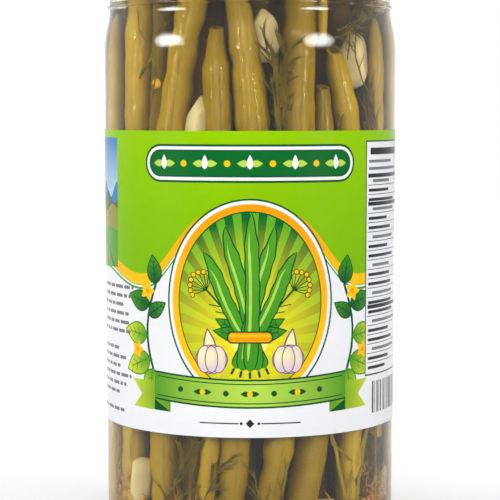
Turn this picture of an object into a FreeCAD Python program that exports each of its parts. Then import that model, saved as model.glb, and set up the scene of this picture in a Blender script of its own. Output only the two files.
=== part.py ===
import FreeCAD, Part
import math
import os

# A filled glass pickle jar with its wrap label and its twist-off lug lid, in millimetres.
# The jar stands on its bearing ring at z = 0, on the Z axis, with the middle of the label
# facing -Y. Every round piece is a profile of (radius, height, corner radius) turned about Z.

# Glass body
body_radius = 42.0          # outside, at the shoulder, the widest place
body_taper = 0.33           # how much smaller the radius is at the heel
body_height = 148.5         # bearing ring to the corner of the shoulder
body_wall = 2.8
heel_round = 9.0
shoulder_rise = 6.8         # height over which the shoulder draws in to the neck
shoulder_round = 26.0
neck_round = 9.0

# Glass base
push_up_height = 2.6        # hollow under the base
push_up_round = 2.0
bearing_width = 3.2         # flat ring that the jar stands on
base_thickness = 5.0
floor_crown = 0.8           # the floor inside stands higher at its middle
floor_round = 8.0

# Glass neck and finish
neck_radius = 40.5
neck_wall = 3.1
neck_height = 3.9           # shoulder to the transfer bead
ring_proud = 0.35           # parting ring left by the neck mould
ring_height = 1.0
ring_below_bead = 1.6
bead_proud = 0.8
bead_height = 4.4
bead_round = 1.1
finish_height = 14.4        # foot of the bead to the rim
finish_set_back = 0.8       # the lug wall stands back from the neck
rim_wall = 2.7
rim_round = 1.2
ramp_count = 6              # glass ramps that the lid's lugs turn under
ramp_proud = 1.3
ramp_thickness = 2.2
ramp_root = 1.0             # how deep a ramp is rooted in the wall
ramp_span_deg = 38.0
ramp_lead_deg = 2.5
ramp_gap = 0.3              # low end of a ramp to the lid's curl

# Contents
head_space = 11.0           # rim down to the brine
contents_gap = 0.1          # brine to glass

# Label
label_height = 83.4
label_drop = 26.7           # corner of the shoulder to the label's top edge
label_thickness = 0.15
label_gap = 0.03            # paper to glass
label_opening = 12.0        # bare strip between its two ends, at the back

# Lid
sheet = 0.4
skirt_clearance = 0.7       # glass ramp to the skirt's inner face
skirt_gap = 0.8             # transfer bead to the curl
lid_round = 1.5
curl_width = 1.8
curl_round = 0.8
panel_depth = 1.5           # lid's rim down to its panel
panel_slope = 1.0
panel_clearance = 0.7       # mouth to the panel's side
panel_round = 0.7
step_inset = 6.9            # shallow ring step, in from the panel's edge
step_height = 0.4
button_radius = 9.0
button_depth = 0.5
lug_reach = 1.0             # how far a lid lug reaches in under its ramp
lug_span_deg = 13.0
lug_gap = 0.4               # lid lug to the glass ramp
lug_root = 0.4              # how deep a lug is rooted in the curl

# Seal between the glass rim and the lid
seal_thickness = 0.7
seal_gap = 0.05

# Heights and radii that follow from the sizes above
foot_radius = body_radius - body_taper
push_up_radius = foot_radius - heel_round - bearing_width
neck_z = body_height + shoulder_rise
bead_z = neck_z + neck_height
rim_z = bead_z + finish_height
brine_z = rim_z - head_space
finish_radius = neck_radius - finish_set_back
mouth_radius = finish_radius - rim_wall
ramp_radius = finish_radius + ramp_proud
floor_z = push_up_height + base_thickness
lid_z = rim_z + seal_thickness + sheet
skirt_radius = ramp_radius + skirt_clearance + sheet / 2
curl_z = bead_z + bead_height + skirt_gap + sheet / 2
ramp_drop = ramp_radius * math.sin(math.radians(ramp_span_deg / 2)) * math.tan(
    math.radians(ramp_lead_deg))
ramp_z = curl_z + curl_width - sheet + ramp_gap + ramp_drop + ramp_thickness / 2


def vector(radius, height):
    return FreeCAD.Vector(radius, 0, height)


def corner_cut(before, corner, after, radius):
    """Tangent points and middle of the arc that rounds one corner, or None if it stays sharp."""
    to_before = before - corner
    to_after = after - corner
    turn = math.pi - to_before.getAngle(to_after)
    if radius <= 0 or turn < 1e-4:
        return None
    longest = 0.49 * min(to_before.Length, to_after.Length)
    tangent = min(radius * math.tan(turn / 2), longest)
    radius = tangent / math.tan(turn / 2)
    to_before.normalize()
    to_after.normalize()
    middle_way = to_before + to_after
    middle_way.normalize()
    depth = radius / math.cos(turn / 2) - radius
    return corner + to_before * tangent, corner + middle_way * depth, corner + to_after * tangent


def outline(corners):
    """Closed face from (radius, height, corner radius) corners, in the XZ plane."""
    points = [vector(radius, height) for radius, height, rounding in corners]
    count = len(points)
    cuts = []
    for index, (radius, height, rounding) in enumerate(corners):
        after = points[(index + 1) % count]
        cuts.append(corner_cut(points[index - 1], points[index], after, rounding))
    edges = []
    for index in range(count):
        cut = cuts[index]
        following = cuts[(index + 1) % count]
        start = cut[2] if cut else points[index]
        end = following[0] if following else points[(index + 1) % count]
        if cut:
            edges.append(Part.Arc(*cut).toShape())
        if (end - start).Length > 1e-6:
            edges.append(Part.LineSegment(start, end).toShape())
    return Part.Face(Part.Wire(edges))


def turned(corners, span_deg=360.0):
    """Solid of revolution about Z, centred on the -Y side when it is not a full turn."""
    solid = outline(corners).revolve(FreeCAD.Vector(0, 0, 0), FreeCAD.Vector(0, 0, 1), span_deg)
    if span_deg < 360.0:
        solid.rotate(FreeCAD.Vector(0, 0, 0), FreeCAD.Vector(0, 0, 1), -90 - span_deg / 2)
    return solid


def around(solid, count):
    """Copies of a solid, evenly spaced about Z."""
    copies = []
    for index in range(count):
        copy = solid.copy()
        copy.rotate(FreeCAD.Vector(0, 0, 0), FreeCAD.Vector(0, 0, 1), 360.0 * index / count)
        copies.append(copy)
    return copies


def sheet_corners(path, thickness):
    """Both sides of a bent sheet, as one closed outline, from the middle line of its section."""
    left, right = [], []
    for index, (radius, height, rounding) in enumerate(path):
        here = vector(radius, height)
        incoming = here - vector(*path[index - 1][:2]) if index > 0 else None
        outgoing = vector(*path[index + 1][:2]) - here if index + 1 < len(path) else None
        incoming = incoming or outgoing
        outgoing = outgoing or incoming
        incoming.normalize()
        outgoing.normalize()
        normal = FreeCAD.Vector(-incoming.z - outgoing.z, 0, incoming.x + outgoing.x)
        normal.normalize()
        reach = thickness / 2 / max(0.2, normal.dot(FreeCAD.Vector(-incoming.z, 0, incoming.x)))
        bend = incoming.x * outgoing.z - incoming.z * outgoing.x
        inner = max(rounding - thickness / 2, 0.05) if rounding else 0
        outer = rounding + thickness / 2 if rounding else 0
        left_rounding, right_rounding = (inner, outer) if bend > 0 else (outer, inner)
        left_point = here + normal * reach
        right_point = here - normal * reach
        left.append((left_point.x, left_point.z, left_rounding))
        right.append((right_point.x, right_point.z, right_rounding))
    return left + right[::-1]


def body_radius_at(height):
    return foot_radius + (body_radius - foot_radius) * height / body_height


def glass_outside():
    """Corners of the jar's outer face, from the middle of its base up to the foot of the rim."""
    ring_z = bead_z - ring_below_bead
    ring_radius = neck_radius + ring_proud
    ring_edge = ring_height / 4
    bead_radius = neck_radius + bead_proud
    bead_top = bead_z + bead_height
    return [
        (0, push_up_height, 0),
        (push_up_radius - push_up_height, push_up_height, push_up_round),
        (push_up_radius, 0, push_up_round / 4),
        (foot_radius, 0, heel_round),
        (body_radius, body_height, shoulder_round),
        (neck_radius, neck_z, neck_round),
        (neck_radius, ring_z - ring_height / 2, ring_edge / 2),
        (ring_radius, ring_z - ring_edge, ring_edge),
        (ring_radius, ring_z + ring_edge, ring_edge),
        (neck_radius, ring_z + ring_height / 2, ring_edge / 2),
        (neck_radius, bead_z, bead_round),
        (bead_radius, bead_z + bead_proud, bead_round),
        (bead_radius, bead_top - bead_proud, bead_round),
        (finish_radius, bead_top, bead_round),
    ]


def glass_inside(inset):
    """Corners of the jar's inner face, from the middle of its floor up to the mouth."""
    return [
        (0, floor_z + floor_crown + inset, 0),
        (foot_radius - body_wall - inset, floor_z + inset, floor_round),
        (body_radius - body_wall - inset, body_height, shoulder_round),
        (neck_radius - neck_wall - inset, neck_z, shoulder_round),
        (mouth_radius - inset, rim_z, 0),
    ]


def glass_ramp():
    """One ramp of the finish, tilted by its lead, that a lid lug turns under."""
    low = ramp_z - ramp_thickness / 2
    high = ramp_z + ramp_thickness / 2
    root = finish_radius - ramp_root
    edge = ramp_thickness / 4
    section = [(root, low, 0), (ramp_radius, low, edge), (ramp_radius, high, edge), (root, high, 0)]
    ramp = turned(section, ramp_span_deg)
    ramp.rotate(FreeCAD.Vector(0, 0, ramp_z), FreeCAD.Vector(0, 1, 0), ramp_lead_deg)
    return ramp


def make_glass():
    inside = glass_inside(0)
    rim = [(finish_radius, rim_z, rim_round), (mouth_radius, rim_z, rim_round)]
    jar = turned(glass_outside() + rim + inside[-2::-1])
    return jar.fuse(around(glass_ramp(), ramp_count)).removeSplitter()


def make_brine():
    inside = glass_inside(contents_gap)
    filled_to_rim = turned(inside + [(0, rim_z, 0)])
    level = Part.makeCylinder(body_radius + neck_radius, brine_z)
    return filled_to_rim.common(level)


def make_label():
    top = body_height - label_drop
    bottom = top - label_height
    corners = []
    for offset, heights in ((label_gap, (bottom, top)), (label_gap + label_thickness, (top, bottom))):
        corners += [(body_radius_at(height) + offset, height, 0) for height in heights]
    opening_deg = math.degrees(label_opening / body_radius_at(top))
    return turned(corners, 360.0 - opening_deg)


def make_lid():
    """Drawn sheet: button, panel, raised rim, skirt and inward curl, with lugs under the ramps."""
    rim_line = lid_z - sheet / 2
    panel_line = rim_line - panel_depth
    panel_edge = mouth_radius - panel_clearance - sheet
    step_radius = panel_edge - panel_slope - step_inset
    curl_radius = skirt_radius - curl_width + sheet
    path = [
        (0, panel_line - button_depth, 0),
        (button_radius, panel_line - button_depth, panel_round),
        (button_radius + button_depth * 2, panel_line, panel_round),
        (step_radius, panel_line, panel_round),
        (step_radius + step_height * 2, panel_line + step_height, panel_round),
        (panel_edge - panel_slope, panel_line + step_height, panel_round),
        (panel_edge, rim_line, panel_round),
        (skirt_radius, rim_line, lid_round),
        (skirt_radius, curl_z, curl_round),
        (curl_radius, curl_z, curl_round),
        (curl_radius, curl_z + curl_width - sheet, 0),
    ]
    shell = turned(sheet_corners(path, sheet))
    outer = curl_radius - sheet / 2 + lug_root
    inner = ramp_radius - lug_reach
    low = curl_z - sheet / 2
    high = ramp_z - ramp_thickness / 2 - lug_gap
    edge = (high - low) / 4
    section = [(outer, low, 0), (inner, low, edge), (inner, high, edge), (outer, high, 0)]
    return shell.fuse(around(turned(section, lug_span_deg), ramp_count)).removeSplitter()


def make_seal():
    """Ring of sealing compound in the lid's rim, on which the glass rim presses."""
    low = rim_z + seal_gap
    high = rim_z + seal_thickness - seal_gap
    inner = mouth_radius
    outer = finish_radius + skirt_clearance
    edge = seal_thickness / 4
    return turned([(inner, low, edge), (outer, low, edge), (outer, high, edge), (inner, high, edge)])


pieces = {
    "jar_glass": make_glass(),
    "brine": make_brine(),
    "label": make_label(),
    "lid": make_lid(),
    "lid_seal": make_seal(),
}

os.makedirs("parts", exist_ok=True)
for name, shape in pieces.items():
    shape.exportStep("parts/" + name + ".step")
    box = shape.optimalBoundingBox(False)
    print("%-10s %d solid, %.1f ml, valid %s, r %.2f, z %.2f to %.2f" % (
        name, len(shape.Solids), shape.Volume / 1000, shape.isValid(),
        box.XMax, box.ZMin, box.ZMax))
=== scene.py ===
# %% [markdown]
# # A jar of pickled green beans
# The model comes as a fixed frame: a hollow glass jar, a solid for what fills it, a wrap
# label, a lid and its seal. This script makes what the eye sees around that frame: wavy
# glass, clear brine, about seventy pods packed upright, garlic, dill and spices sunk in
# the brine, a printed label and a lacquered lid. Sizes are in millimetres, as a maker
# would give them, and turn into Blender's metres where a mesh is made.

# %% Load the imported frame
import math
import bmesh
import bpy
import numpy as np
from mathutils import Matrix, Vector
from mathutils.geometry import delaunay_2d_cdt


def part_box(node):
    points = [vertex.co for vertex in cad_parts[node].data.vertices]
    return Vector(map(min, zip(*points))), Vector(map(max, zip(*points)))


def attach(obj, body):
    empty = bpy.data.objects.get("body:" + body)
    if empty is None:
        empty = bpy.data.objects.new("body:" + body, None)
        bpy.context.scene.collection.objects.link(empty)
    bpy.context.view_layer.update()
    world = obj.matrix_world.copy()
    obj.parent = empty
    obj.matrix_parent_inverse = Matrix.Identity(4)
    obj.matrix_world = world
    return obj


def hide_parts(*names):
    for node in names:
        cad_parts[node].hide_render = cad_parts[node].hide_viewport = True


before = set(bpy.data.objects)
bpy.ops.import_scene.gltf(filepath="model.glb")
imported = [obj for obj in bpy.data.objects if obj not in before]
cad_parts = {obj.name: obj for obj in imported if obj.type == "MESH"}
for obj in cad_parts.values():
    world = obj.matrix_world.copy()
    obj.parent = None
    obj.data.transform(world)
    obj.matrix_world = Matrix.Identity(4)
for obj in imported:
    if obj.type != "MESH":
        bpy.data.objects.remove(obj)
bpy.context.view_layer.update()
mm = 0.001

# %% [markdown]
# ## Small helpers
# A place on a jar is easiest to say as an angle and a height. Angle 0 is the middle of the
# label, which faces -Y, and angles grow to the right. Every piece is one mesh at the
# origin, with its place in its vertices.


# %% Places, colours and meshes
def place(radius, angle, height):
    """Point on a circle about the jar's axis; angle in degrees from the label's middle."""
    turn = math.radians(angle)
    return np.array((radius * math.sin(turn), -radius * math.cos(turn), height))


def colour(red, green, blue):
    """Screen values from 0 to 255 as the linear colour that a shader takes."""
    values = [part / 255 for part in (red, green, blue)]
    linear = [v / 12.92 if v <= 0.04045 else ((v + 0.055) / 1.055) ** 2.4 for v in values]
    return (*linear, 1.0)


def make_piece(name, vertices, faces, material, smooth=True):
    """A mesh object from vertices in millimetres."""
    mesh = bpy.data.meshes.new(name)
    mesh.from_pydata((np.asarray(vertices, dtype=float) * mm).tolist(), [], faces)
    mesh.validate()
    mesh.polygons.foreach_set("use_smooth", [smooth] * len(mesh.polygons))
    piece = bpy.data.objects.new(name, mesh)
    bpy.context.collection.objects.link(piece)
    if material:
        mesh.materials.append(material)
    return piece


def point_outwards(piece):
    """Merges doubles and turns every face of a closed mesh outwards."""
    mesh = bmesh.new()
    mesh.from_mesh(piece.data)
    bmesh.ops.remove_doubles(mesh, verts=mesh.verts, dist=1e-7)
    bmesh.ops.recalc_face_normals(mesh, faces=mesh.faces)
    mesh.to_mesh(piece.data)
    mesh.free()


def finish_piece(piece, slot, *replaced):
    """Makes a piece ride with the jar and hides the frame parts that it replaces; slot is not used."""
    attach(piece, "root")
    if replaced:
        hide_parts(*replaced)
    triangles = sum(len(face.vertices) - 2 for face in piece.data.polygons)
    print("%-16s %6d triangles" % (piece.name, triangles))
    return piece


# %% [markdown]
# ## Outlines that turn
# The jar, the brine and the lid are round, so each is an outline of a few corners, turned
# about the axis. A lathe modifier would do it too, but building the rings directly lets
# the same code add the small waves of moulded glass and the lid's pressed lugs.


# %% Rounded outlines and turned meshes
def rounded(corners, steps=6):
    """Points of an outline whose (radius, height, rounding) corners become short arcs."""
    points = []
    for index, (radius, height, rounding) in enumerate(corners):
        here = np.array((radius, height))
        if rounding <= 0 or index in (0, len(corners) - 1):
            points.append(here)
            continue
        to_before = np.array(corners[index - 1][:2]) - here
        to_after = np.array(corners[index + 1][:2]) - here
        before_length, after_length = np.linalg.norm(to_before), np.linalg.norm(to_after)
        to_before, to_after = to_before / before_length, to_after / after_length
        half = math.acos(np.clip(to_before @ to_after, -1, 1)) / 2
        tangent = min(rounding / math.tan(half), 0.49 * min(before_length, after_length))
        arc = tangent * math.tan(half)
        middle = to_before + to_after
        centre = here + middle / np.linalg.norm(middle) * arc / math.sin(half)
        start = here + to_before * tangent - centre
        turn = math.pi - 2 * half
        side = np.sign(to_before[0] * to_after[1] - to_before[1] * to_after[0])
        for step in range(steps + 1):
            angle = -side * turn * step / steps
            spin = np.array(((math.cos(angle), -math.sin(angle)), (math.sin(angle), math.cos(angle))))
            points.append(centre + spin @ start)
    return np.array(points)


def subdivided(points, longest):
    """Adds points along an outline so that no step is longer than asked."""
    result = [points[0]]
    for start, end in zip(points[:-1], points[1:]):
        count = max(1, math.ceil(np.linalg.norm(end - start) / longest))
        result += [start + (end - start) * step / count for step in range(1, count + 1)]
    return np.array(result)


def turned(name, points, columns, material, wobble=None):
    """Turns an outline that starts and ends on the axis into a closed mesh."""
    rings = len(points)
    angles = np.linspace(0, 360, columns, endpoint=False)
    vertices = []
    for radius, height in points[1:-1]:
        offset = wobble(angles, radius, height) if wobble else np.zeros(columns)
        turn = np.radians(angles)
        ring = np.column_stack(((radius + offset) * np.sin(turn), -(radius + offset) * np.cos(turn),
                                np.full(columns, height)))
        vertices.append(ring)
    vertices = np.concatenate(vertices)
    first, last = len(vertices), len(vertices) + 1
    vertices = np.vstack((vertices, (0, 0, points[0][1]), (0, 0, points[-1][1])))
    faces = []
    for column in range(columns):
        beside = (column + 1) % columns
        faces.append((first, column, beside))
        for ring in range(rings - 3):
            low, high = ring * columns, (ring + 1) * columns
            faces.append((low + column, high + column, high + beside, low + beside))
        top = (rings - 3) * columns
        faces.append((top + column, last, top + beside))
    piece = make_piece(name, vertices, faces, material)
    point_outwards(piece)
    return piece


# %% [markdown]
# ## Shader building blocks
# Materials are node trees, so a short `add` keeps them readable: it makes a node, sets its
# properties and links or sets its inputs. Three effects serve several finishes. "Mottle"
# breaks a colour up at two sizes, as skins and lacquers do, "fine relief" turns noise
# into a bent normal, and the third says how far behind the glass a spot lies, so that
# colours darken with depth: painted shade for close neighbours and for the light that the
# brine takes.


# %% Node helpers
def feed(tree, node, inputs):
    """Links an input that is given a socket, and sets one that is given a value."""
    for key, value in inputs.items():
        if isinstance(value, bpy.types.NodeSocket):
            tree.links.new(value, node.inputs[key])
        elif value is not None:
            node.inputs[key].default_value = value
    return node


def add(tree, kind, inputs=None, **settings):
    """Adds a node with its properties and inputs."""
    node = tree.nodes.new(kind)
    for key, value in settings.items():
        setattr(node, key, value)
    return feed(tree, node, inputs or {})


# %% Arithmetic, blends and noise
def maths(tree, operation, first, second=0.0, clamp=False):
    return add(tree, "ShaderNodeMath", {0: first, 1: second}, operation=operation,
               use_clamp=clamp).outputs[0]


def plus(tree, first, second, clamp=False):
    return maths(tree, "ADD", first, second, clamp)


def minus(tree, first, second):
    return maths(tree, "SUBTRACT", first, second)


def times(tree, first, *others):
    for other in others:
        first = maths(tree, "MULTIPLY", first, other)
    return first


def mixed(tree, factor, first, second):
    """Blend of two colours."""
    return add(tree, "ShaderNodeMix", {"Factor": factor, 6: first, 7: second}, data_type="RGBA").outputs[2]


def spread(tree, value, low, high, to_low=0.0, to_high=1.0):
    """Maps a value from one range to another and holds it there."""
    return add(tree, "ShaderNodeMapRange", {"Value": value, "From Min": low, "From Max": high,
               "To Min": to_low, "To Max": to_high}).outputs[0]


def noise(tree, where, scale, detail):
    return add(tree, "ShaderNodeTexNoise", {"Vector": where, "Scale": scale, "Detail": detail}).outputs[0]


# %% Groups and materials
def shader_group(name, inputs, outputs):
    """An empty shader node group with named sockets."""
    group = bpy.data.node_groups.new(name, "ShaderNodeTree")
    for label, kind, value in inputs:
        group.interface.new_socket(name=label, in_out="INPUT", socket_type=kind).default_value = value
    for label, kind in outputs:
        group.interface.new_socket(name=label, in_out="OUTPUT", socket_type=kind)
    return group, group.nodes.new("NodeGroupInput").outputs, group.nodes.new("NodeGroupOutput").inputs


def group_node(tree, group, inputs):
    return feed(tree, add(tree, "ShaderNodeGroup", node_tree=group), inputs).outputs[0]


def object_place(tree):
    """Place on the piece, which no view or pose changes."""
    return add(tree, "ShaderNodeTexCoord").outputs["Object"]


def new_material(name):
    material = bpy.data.materials.new(name)
    material.use_nodes = True
    tree = material.node_tree
    tree.nodes.clear()
    return material, tree, tree.nodes.new("ShaderNodeOutputMaterial")


# %% Mottle
mottle, given, result = shader_group(
    "mottle", [("Vector", "NodeSocketVector", (0, 0, 0)), ("Patch Size", "NodeSocketFloat", 0.006),
               ("Contrast", "NodeSocketFloat", 1.0)], [("Mask", "NodeSocketFloat")])
patch_scale = maths(mottle, "DIVIDE", 1.0, given["Patch Size"])
broad = noise(mottle, given["Vector"], patch_scale, 2.0)
fine_scale = times(mottle, patch_scale, 5.0)
fine = noise(mottle, given["Vector"], fine_scale, 3.0)
both = plus(mottle, times(mottle, broad, 0.65), times(mottle, fine, 0.35))
centred = times(mottle, minus(mottle, both, 0.5), given["Contrast"])
mottle.links.new(plus(mottle, times(mottle, centred, 2.0), 0.5, clamp=True), result["Mask"])

# %% Fine relief
relief, given, result = shader_group(
    "fine relief", [("Vector", "NodeSocketVector", (0, 0, 0)), ("Grain Size", "NodeSocketFloat", 0.001),
                    ("Depth", "NodeSocketFloat", 0.0001), ("Strength", "NodeSocketFloat", 1.0)],
    [("Normal", "NodeSocketVector")])
grain = noise(relief, given["Vector"], maths(relief, "DIVIDE", 1.0, given["Grain Size"]), 3.0)
bump = add(relief, "ShaderNodeBump", {"Height": grain, "Distance": given["Depth"],
           "Strength": given["Strength"]})
relief.links.new(bump.outputs[0], result["Normal"])

# %% Painted shade by depth
# Painted shade: 0 at the inner wall, rising to 1 a reach inwards. Materials darken their colour by it in
# place of the shadow of close neighbours and the light the brine takes.
brine_depth, given, result = shader_group(
    "brine depth", [("Vector", "NodeSocketVector", (0, 0, 0)), ("Wall Radius", "NodeSocketFloat", 0.0389),
                    ("Reach", "NodeSocketFloat", 0.007)], [("Shade", "NodeSocketFloat")])
off_axis = add(brine_depth, "ShaderNodeVectorMath", {0: given["Vector"], 1: (1, 1, 0)},
               operation="MULTIPLY").outputs[0]
radius = add(brine_depth, "ShaderNodeVectorMath", {0: off_axis}, operation="LENGTH").outputs["Value"]
behind = maths(brine_depth, "DIVIDE", minus(brine_depth, given["Wall Radius"], radius), given["Reach"])
behind = maths(brine_depth, "MAXIMUM", behind, 0.0)
brine_depth.links.new(maths(brine_depth, "POWER", behind, 1.3, clamp=True), result["Shade"])


# %% The effects and a surface, ready to use
def mottled(tree, where, patch_size, contrast=1.0):
    return group_node(tree, mottle, {"Vector": where, "Patch Size": patch_size, "Contrast": contrast})


def grained(tree, where, grain_size, depth, strength):
    return group_node(tree, relief, {"Vector": where, "Grain Size": grain_size, "Depth": depth,
                                     "Strength": strength})


def principled(tree, output, inputs):
    shader = add(tree, "ShaderNodeBsdfPrincipled", inputs)
    tree.links.new(shader.outputs[0], output.inputs["Surface"])
    return shader


# %% [markdown]
# ## The jar's sizes
# The visible glass repeats the corners of the CAD jar, because a mesh made of the CAD
# node's flat facets would bend light in stripes. The heights come from the frame.

# %% Jar sizes
rim_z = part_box("jar_glass")[1][2] / mm
fill_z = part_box("brine")[1][2] / mm
label_low, label_high = (corner[2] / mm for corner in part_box("label"))
lid_low, lid_high = (corner[2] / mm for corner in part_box("lid"))

body_radius = 42.0
body_taper = 0.33
body_height = 148.5
body_wall = 2.8
neck_radius = 40.5
neck_wall = 3.1
neck_z = body_height + 6.8
bead_z = neck_z + 3.9
bead_top = bead_z + 4.4
finish_radius = neck_radius - 0.8
mouth_radius = finish_radius - 2.7
ramp_radius = finish_radius + 1.3
foot_radius = body_radius - body_taper
floor_z = 7.6
heel_round = 8.0        # inside, where the floor turns up into the wall
shoulder_round = 26.0
print("rim %.1f, brine %.1f, label %.1f to %.1f mm" % (rim_z, fill_z, label_low, label_high))


def body_radius_at(height):
    return foot_radius + body_taper * height / body_height


def inner_radius(height):
    """Radius of the jar's inner wall at a height, for whatever lies against the glass."""
    heights = (0, body_height - 1, neck_z, rim_z)
    radii = (foot_radius - body_wall, body_radius - body_wall, neck_radius - neck_wall, mouth_radius)
    return np.interp(height, heights, radii)


def inside_corners(inset):
    """Corners of the inner face from the middle of the floor up to the mouth."""
    return [
        (0, floor_z + 0.8 + inset, 0),
        (foot_radius - body_wall - inset, floor_z + inset, heel_round),
        (body_radius - body_wall - inset, body_height, shoulder_round),
        (neck_radius - neck_wall - inset, neck_z, shoulder_round),
    ]


# %% [markdown]
# ## Glass
# Moulded glass is never quite even: its outside waves by a few hundredths of a
# millimetre, which gives the reflections of lamps their ragged edges. The waves are in
# the mesh. The shader is a clear dielectric for everything but shadow rays, which pass
# straight through, so that lamps light the pods inside without noise.


# %% Clear shaders that let shadow rays through
def clear_shader(tree, output, tint, shadow_tint, index, back_gloss, normal=None):
    """Clear dielectric; back_gloss weakens reflections that real glass against brine hardly has.

    With a normal it is the jar's own glass: glossier outside, and tinted where seen edge on.
    """
    gloss = (back_gloss, back_gloss, back_gloss, 1)
    outer_gloss = (0.65, 0.65, 0.65, 1)
    edge_tint = (0.6, 0.57, 0.47, 1)
    if normal:
        inner_side = add(tree, "ShaderNodeNewGeometry").outputs["Backfacing"]
        gloss = mixed(tree, inner_side, outer_gloss, gloss)
        # a grazing ray has a longer way through the wall, so more of the glass's tint
        grazing = add(tree, "ShaderNodeLayerWeight").outputs["Facing"]
        tint = mixed(tree, spread(tree, grazing, 0.66, 0.92), tint, edge_tint)
    glass = add(tree, "ShaderNodeBsdfPrincipled", {
        "Base Color": tint, "Roughness": 0.0, "IOR": index, "Transmission Weight": 1.0,
        "Specular Tint": gloss})
    if normal:
        tree.links.new(normal, glass.inputs["Normal"])
    through = add(tree, "ShaderNodeBsdfTransparent", {"Color": shadow_tint})
    ray = add(tree, "ShaderNodeLightPath")
    either = add(tree, "ShaderNodeMixShader", {
        0: ray.outputs["Is Shadow Ray"], 1: glass.outputs[0], 2: through.outputs[0]})
    tree.links.new(either.outputs[0], output.inputs["Surface"])


def make_glass_material():
    material, tree, output = new_material("clear flint glass")
    where = object_place(tree)
    waves = grained(tree, where, 0.0011, 0.000022, 1.0)
    clear_shader(tree, output, (0.975, 0.985, 0.975, 1), (0.97, 0.98, 0.97, 1), 1.5, 0.1, waves)
    return material


def make_brine_material():
    material, tree, output = new_material("clear brine")
    clear_shader(tree, output, (0.97, 0.93, 0.68, 1), (0.97, 0.94, 0.75, 1), 1.34, 0.15)
    return material


# %% Jar glass
def smooth_noise(angles, height, waves, seed):
    """A sum of a few slow waves round and up the jar."""
    generator = np.random.default_rng(seed)
    total = np.zeros(len(angles))
    for _ in range(waves):
        around = generator.integers(3, 34)
        up = generator.uniform(-0.55, 0.55)
        phase = generator.uniform(0, 2 * math.pi)
        total += np.sin(np.radians(angles) * around + up * height + phase) / math.sqrt(waves)
    return total


def glass_wobble(angles, radius, height):
    """Mould waves on the outer face, and the ramps that the lid's lugs turn under."""
    if radius < body_radius_at(height) - 2.2 or height < 3:
        return np.zeros(len(angles))
    offset = 0.016 * smooth_noise(angles, height, 14, 5)
    if height > bead_top:
        ramp_middle, ramp_half_height, ramp_half_span = 168.0, 1.1, 19.0
        off_middle = (angles + 30) % 60 - 30
        drop = abs(height - ramp_middle - off_middle * 0.03)
        up = np.clip((ramp_half_height - drop) / 0.5 + 0.5, 0, 1)
        along = np.clip((ramp_half_span - abs(off_middle)) / 2 + 0.5, 0, 1)
        offset = (ramp_radius - finish_radius) * up * along
    return offset


def glass_outline():
    outside = [
        (0, 2.6, 0), (foot_radius - 14.8, 2.6, 2.0), (foot_radius - 12.2, 0, 0.5),
        (foot_radius, 0, 9.0), (body_radius, body_height - 1.2, 33.0), (neck_radius, neck_z - 0.9, 7.0),
        (neck_radius, bead_z - 3.0, 0.12), (neck_radius + 0.5, bead_z - 2.75, 0.25),
        (neck_radius + 0.5, bead_z - 2.25, 0.25), (neck_radius, bead_z - 2.0, 0.12),
        (neck_radius, bead_z, 1.1), (neck_radius + 0.8, bead_z + 0.8, 1.1),
        (neck_radius + 0.8, bead_top - 0.8, 1.1), (finish_radius, bead_top, 1.1),
        (finish_radius, rim_z, 1.2), (mouth_radius, rim_z, 1.2),
    ]
    return subdivided(rounded(outside + inside_corners(0)[::-1]), 2.0)


glass_material = make_glass_material()
jar_glass = turned("jar_glass_clear", glass_outline(), 288, glass_material, glass_wobble)
finish_piece(jar_glass, "clear_glass", "jar_glass")


# %% [markdown]
# ## Brine
# Brine touches the glass. Two surfaces in the same place flicker, and a gap shows as a
# silver skin, so the brine's mesh reaches a fifth of a millimetre into the wall. Its
# surface climbs a little where it meets the glass.

# %% Brine
into_wall = 0.2
meniscus_height = 0.9


def brine_outline():
    wall = inner_radius(fill_z) + into_wall
    corners = inside_corners(-into_wall) + [
        (wall, fill_z + meniscus_height, 0.05), (wall - 0.8, fill_z + 0.25, 1.5), (wall - 3.0, fill_z, 2.0),
        (0, fill_z, 0)]
    return subdivided(rounded(corners), 4.0)


brine_material = make_brine_material()
brine = turned("brine_clear", brine_outline(), 288, brine_material)
finish_piece(brine, "brine", "brine")


# %% [markdown]
# ## Where a thing in brine really stands
# A round jar of brine is a strong lens: what is seen at an angle on the glass stands
# further round than it seems, by up to ten degrees near the sides. The pieces that are
# listed are given by the angle at which they show on the glass, and one function
# follows the bent line of sight inwards to the radius where the piece stands.


# %% Line of sight through glass and brine
viewing_distance = 550.0
brine_index = 1.34


def sunk(shown_angle, radius):
    """Real angle, at a radius inside the jar, of what shows at an angle on the glass."""
    shown = np.radians(shown_angle)
    slope = np.arctan2(body_radius * np.sin(shown), viewing_distance - body_radius * np.cos(shown))
    bent = np.arcsin(np.clip(np.sin(shown + slope) / brine_index, -1, 1))
    crossing = np.arcsin(np.clip(body_radius * np.sin(bent) / radius, -1, 1))
    return np.degrees(shown + crossing - bent)


def in_brine(height, shown_angle, behind_wall):
    """Place in the brine, a distance behind the inner wall, of what shows at an angle on the glass."""
    radius = inner_radius(height) - behind_wall
    return place(radius, sunk(shown_angle, radius), height)


print("a pod that shows at 65 degrees stands at %.1f" % sunk(65, 35))
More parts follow.
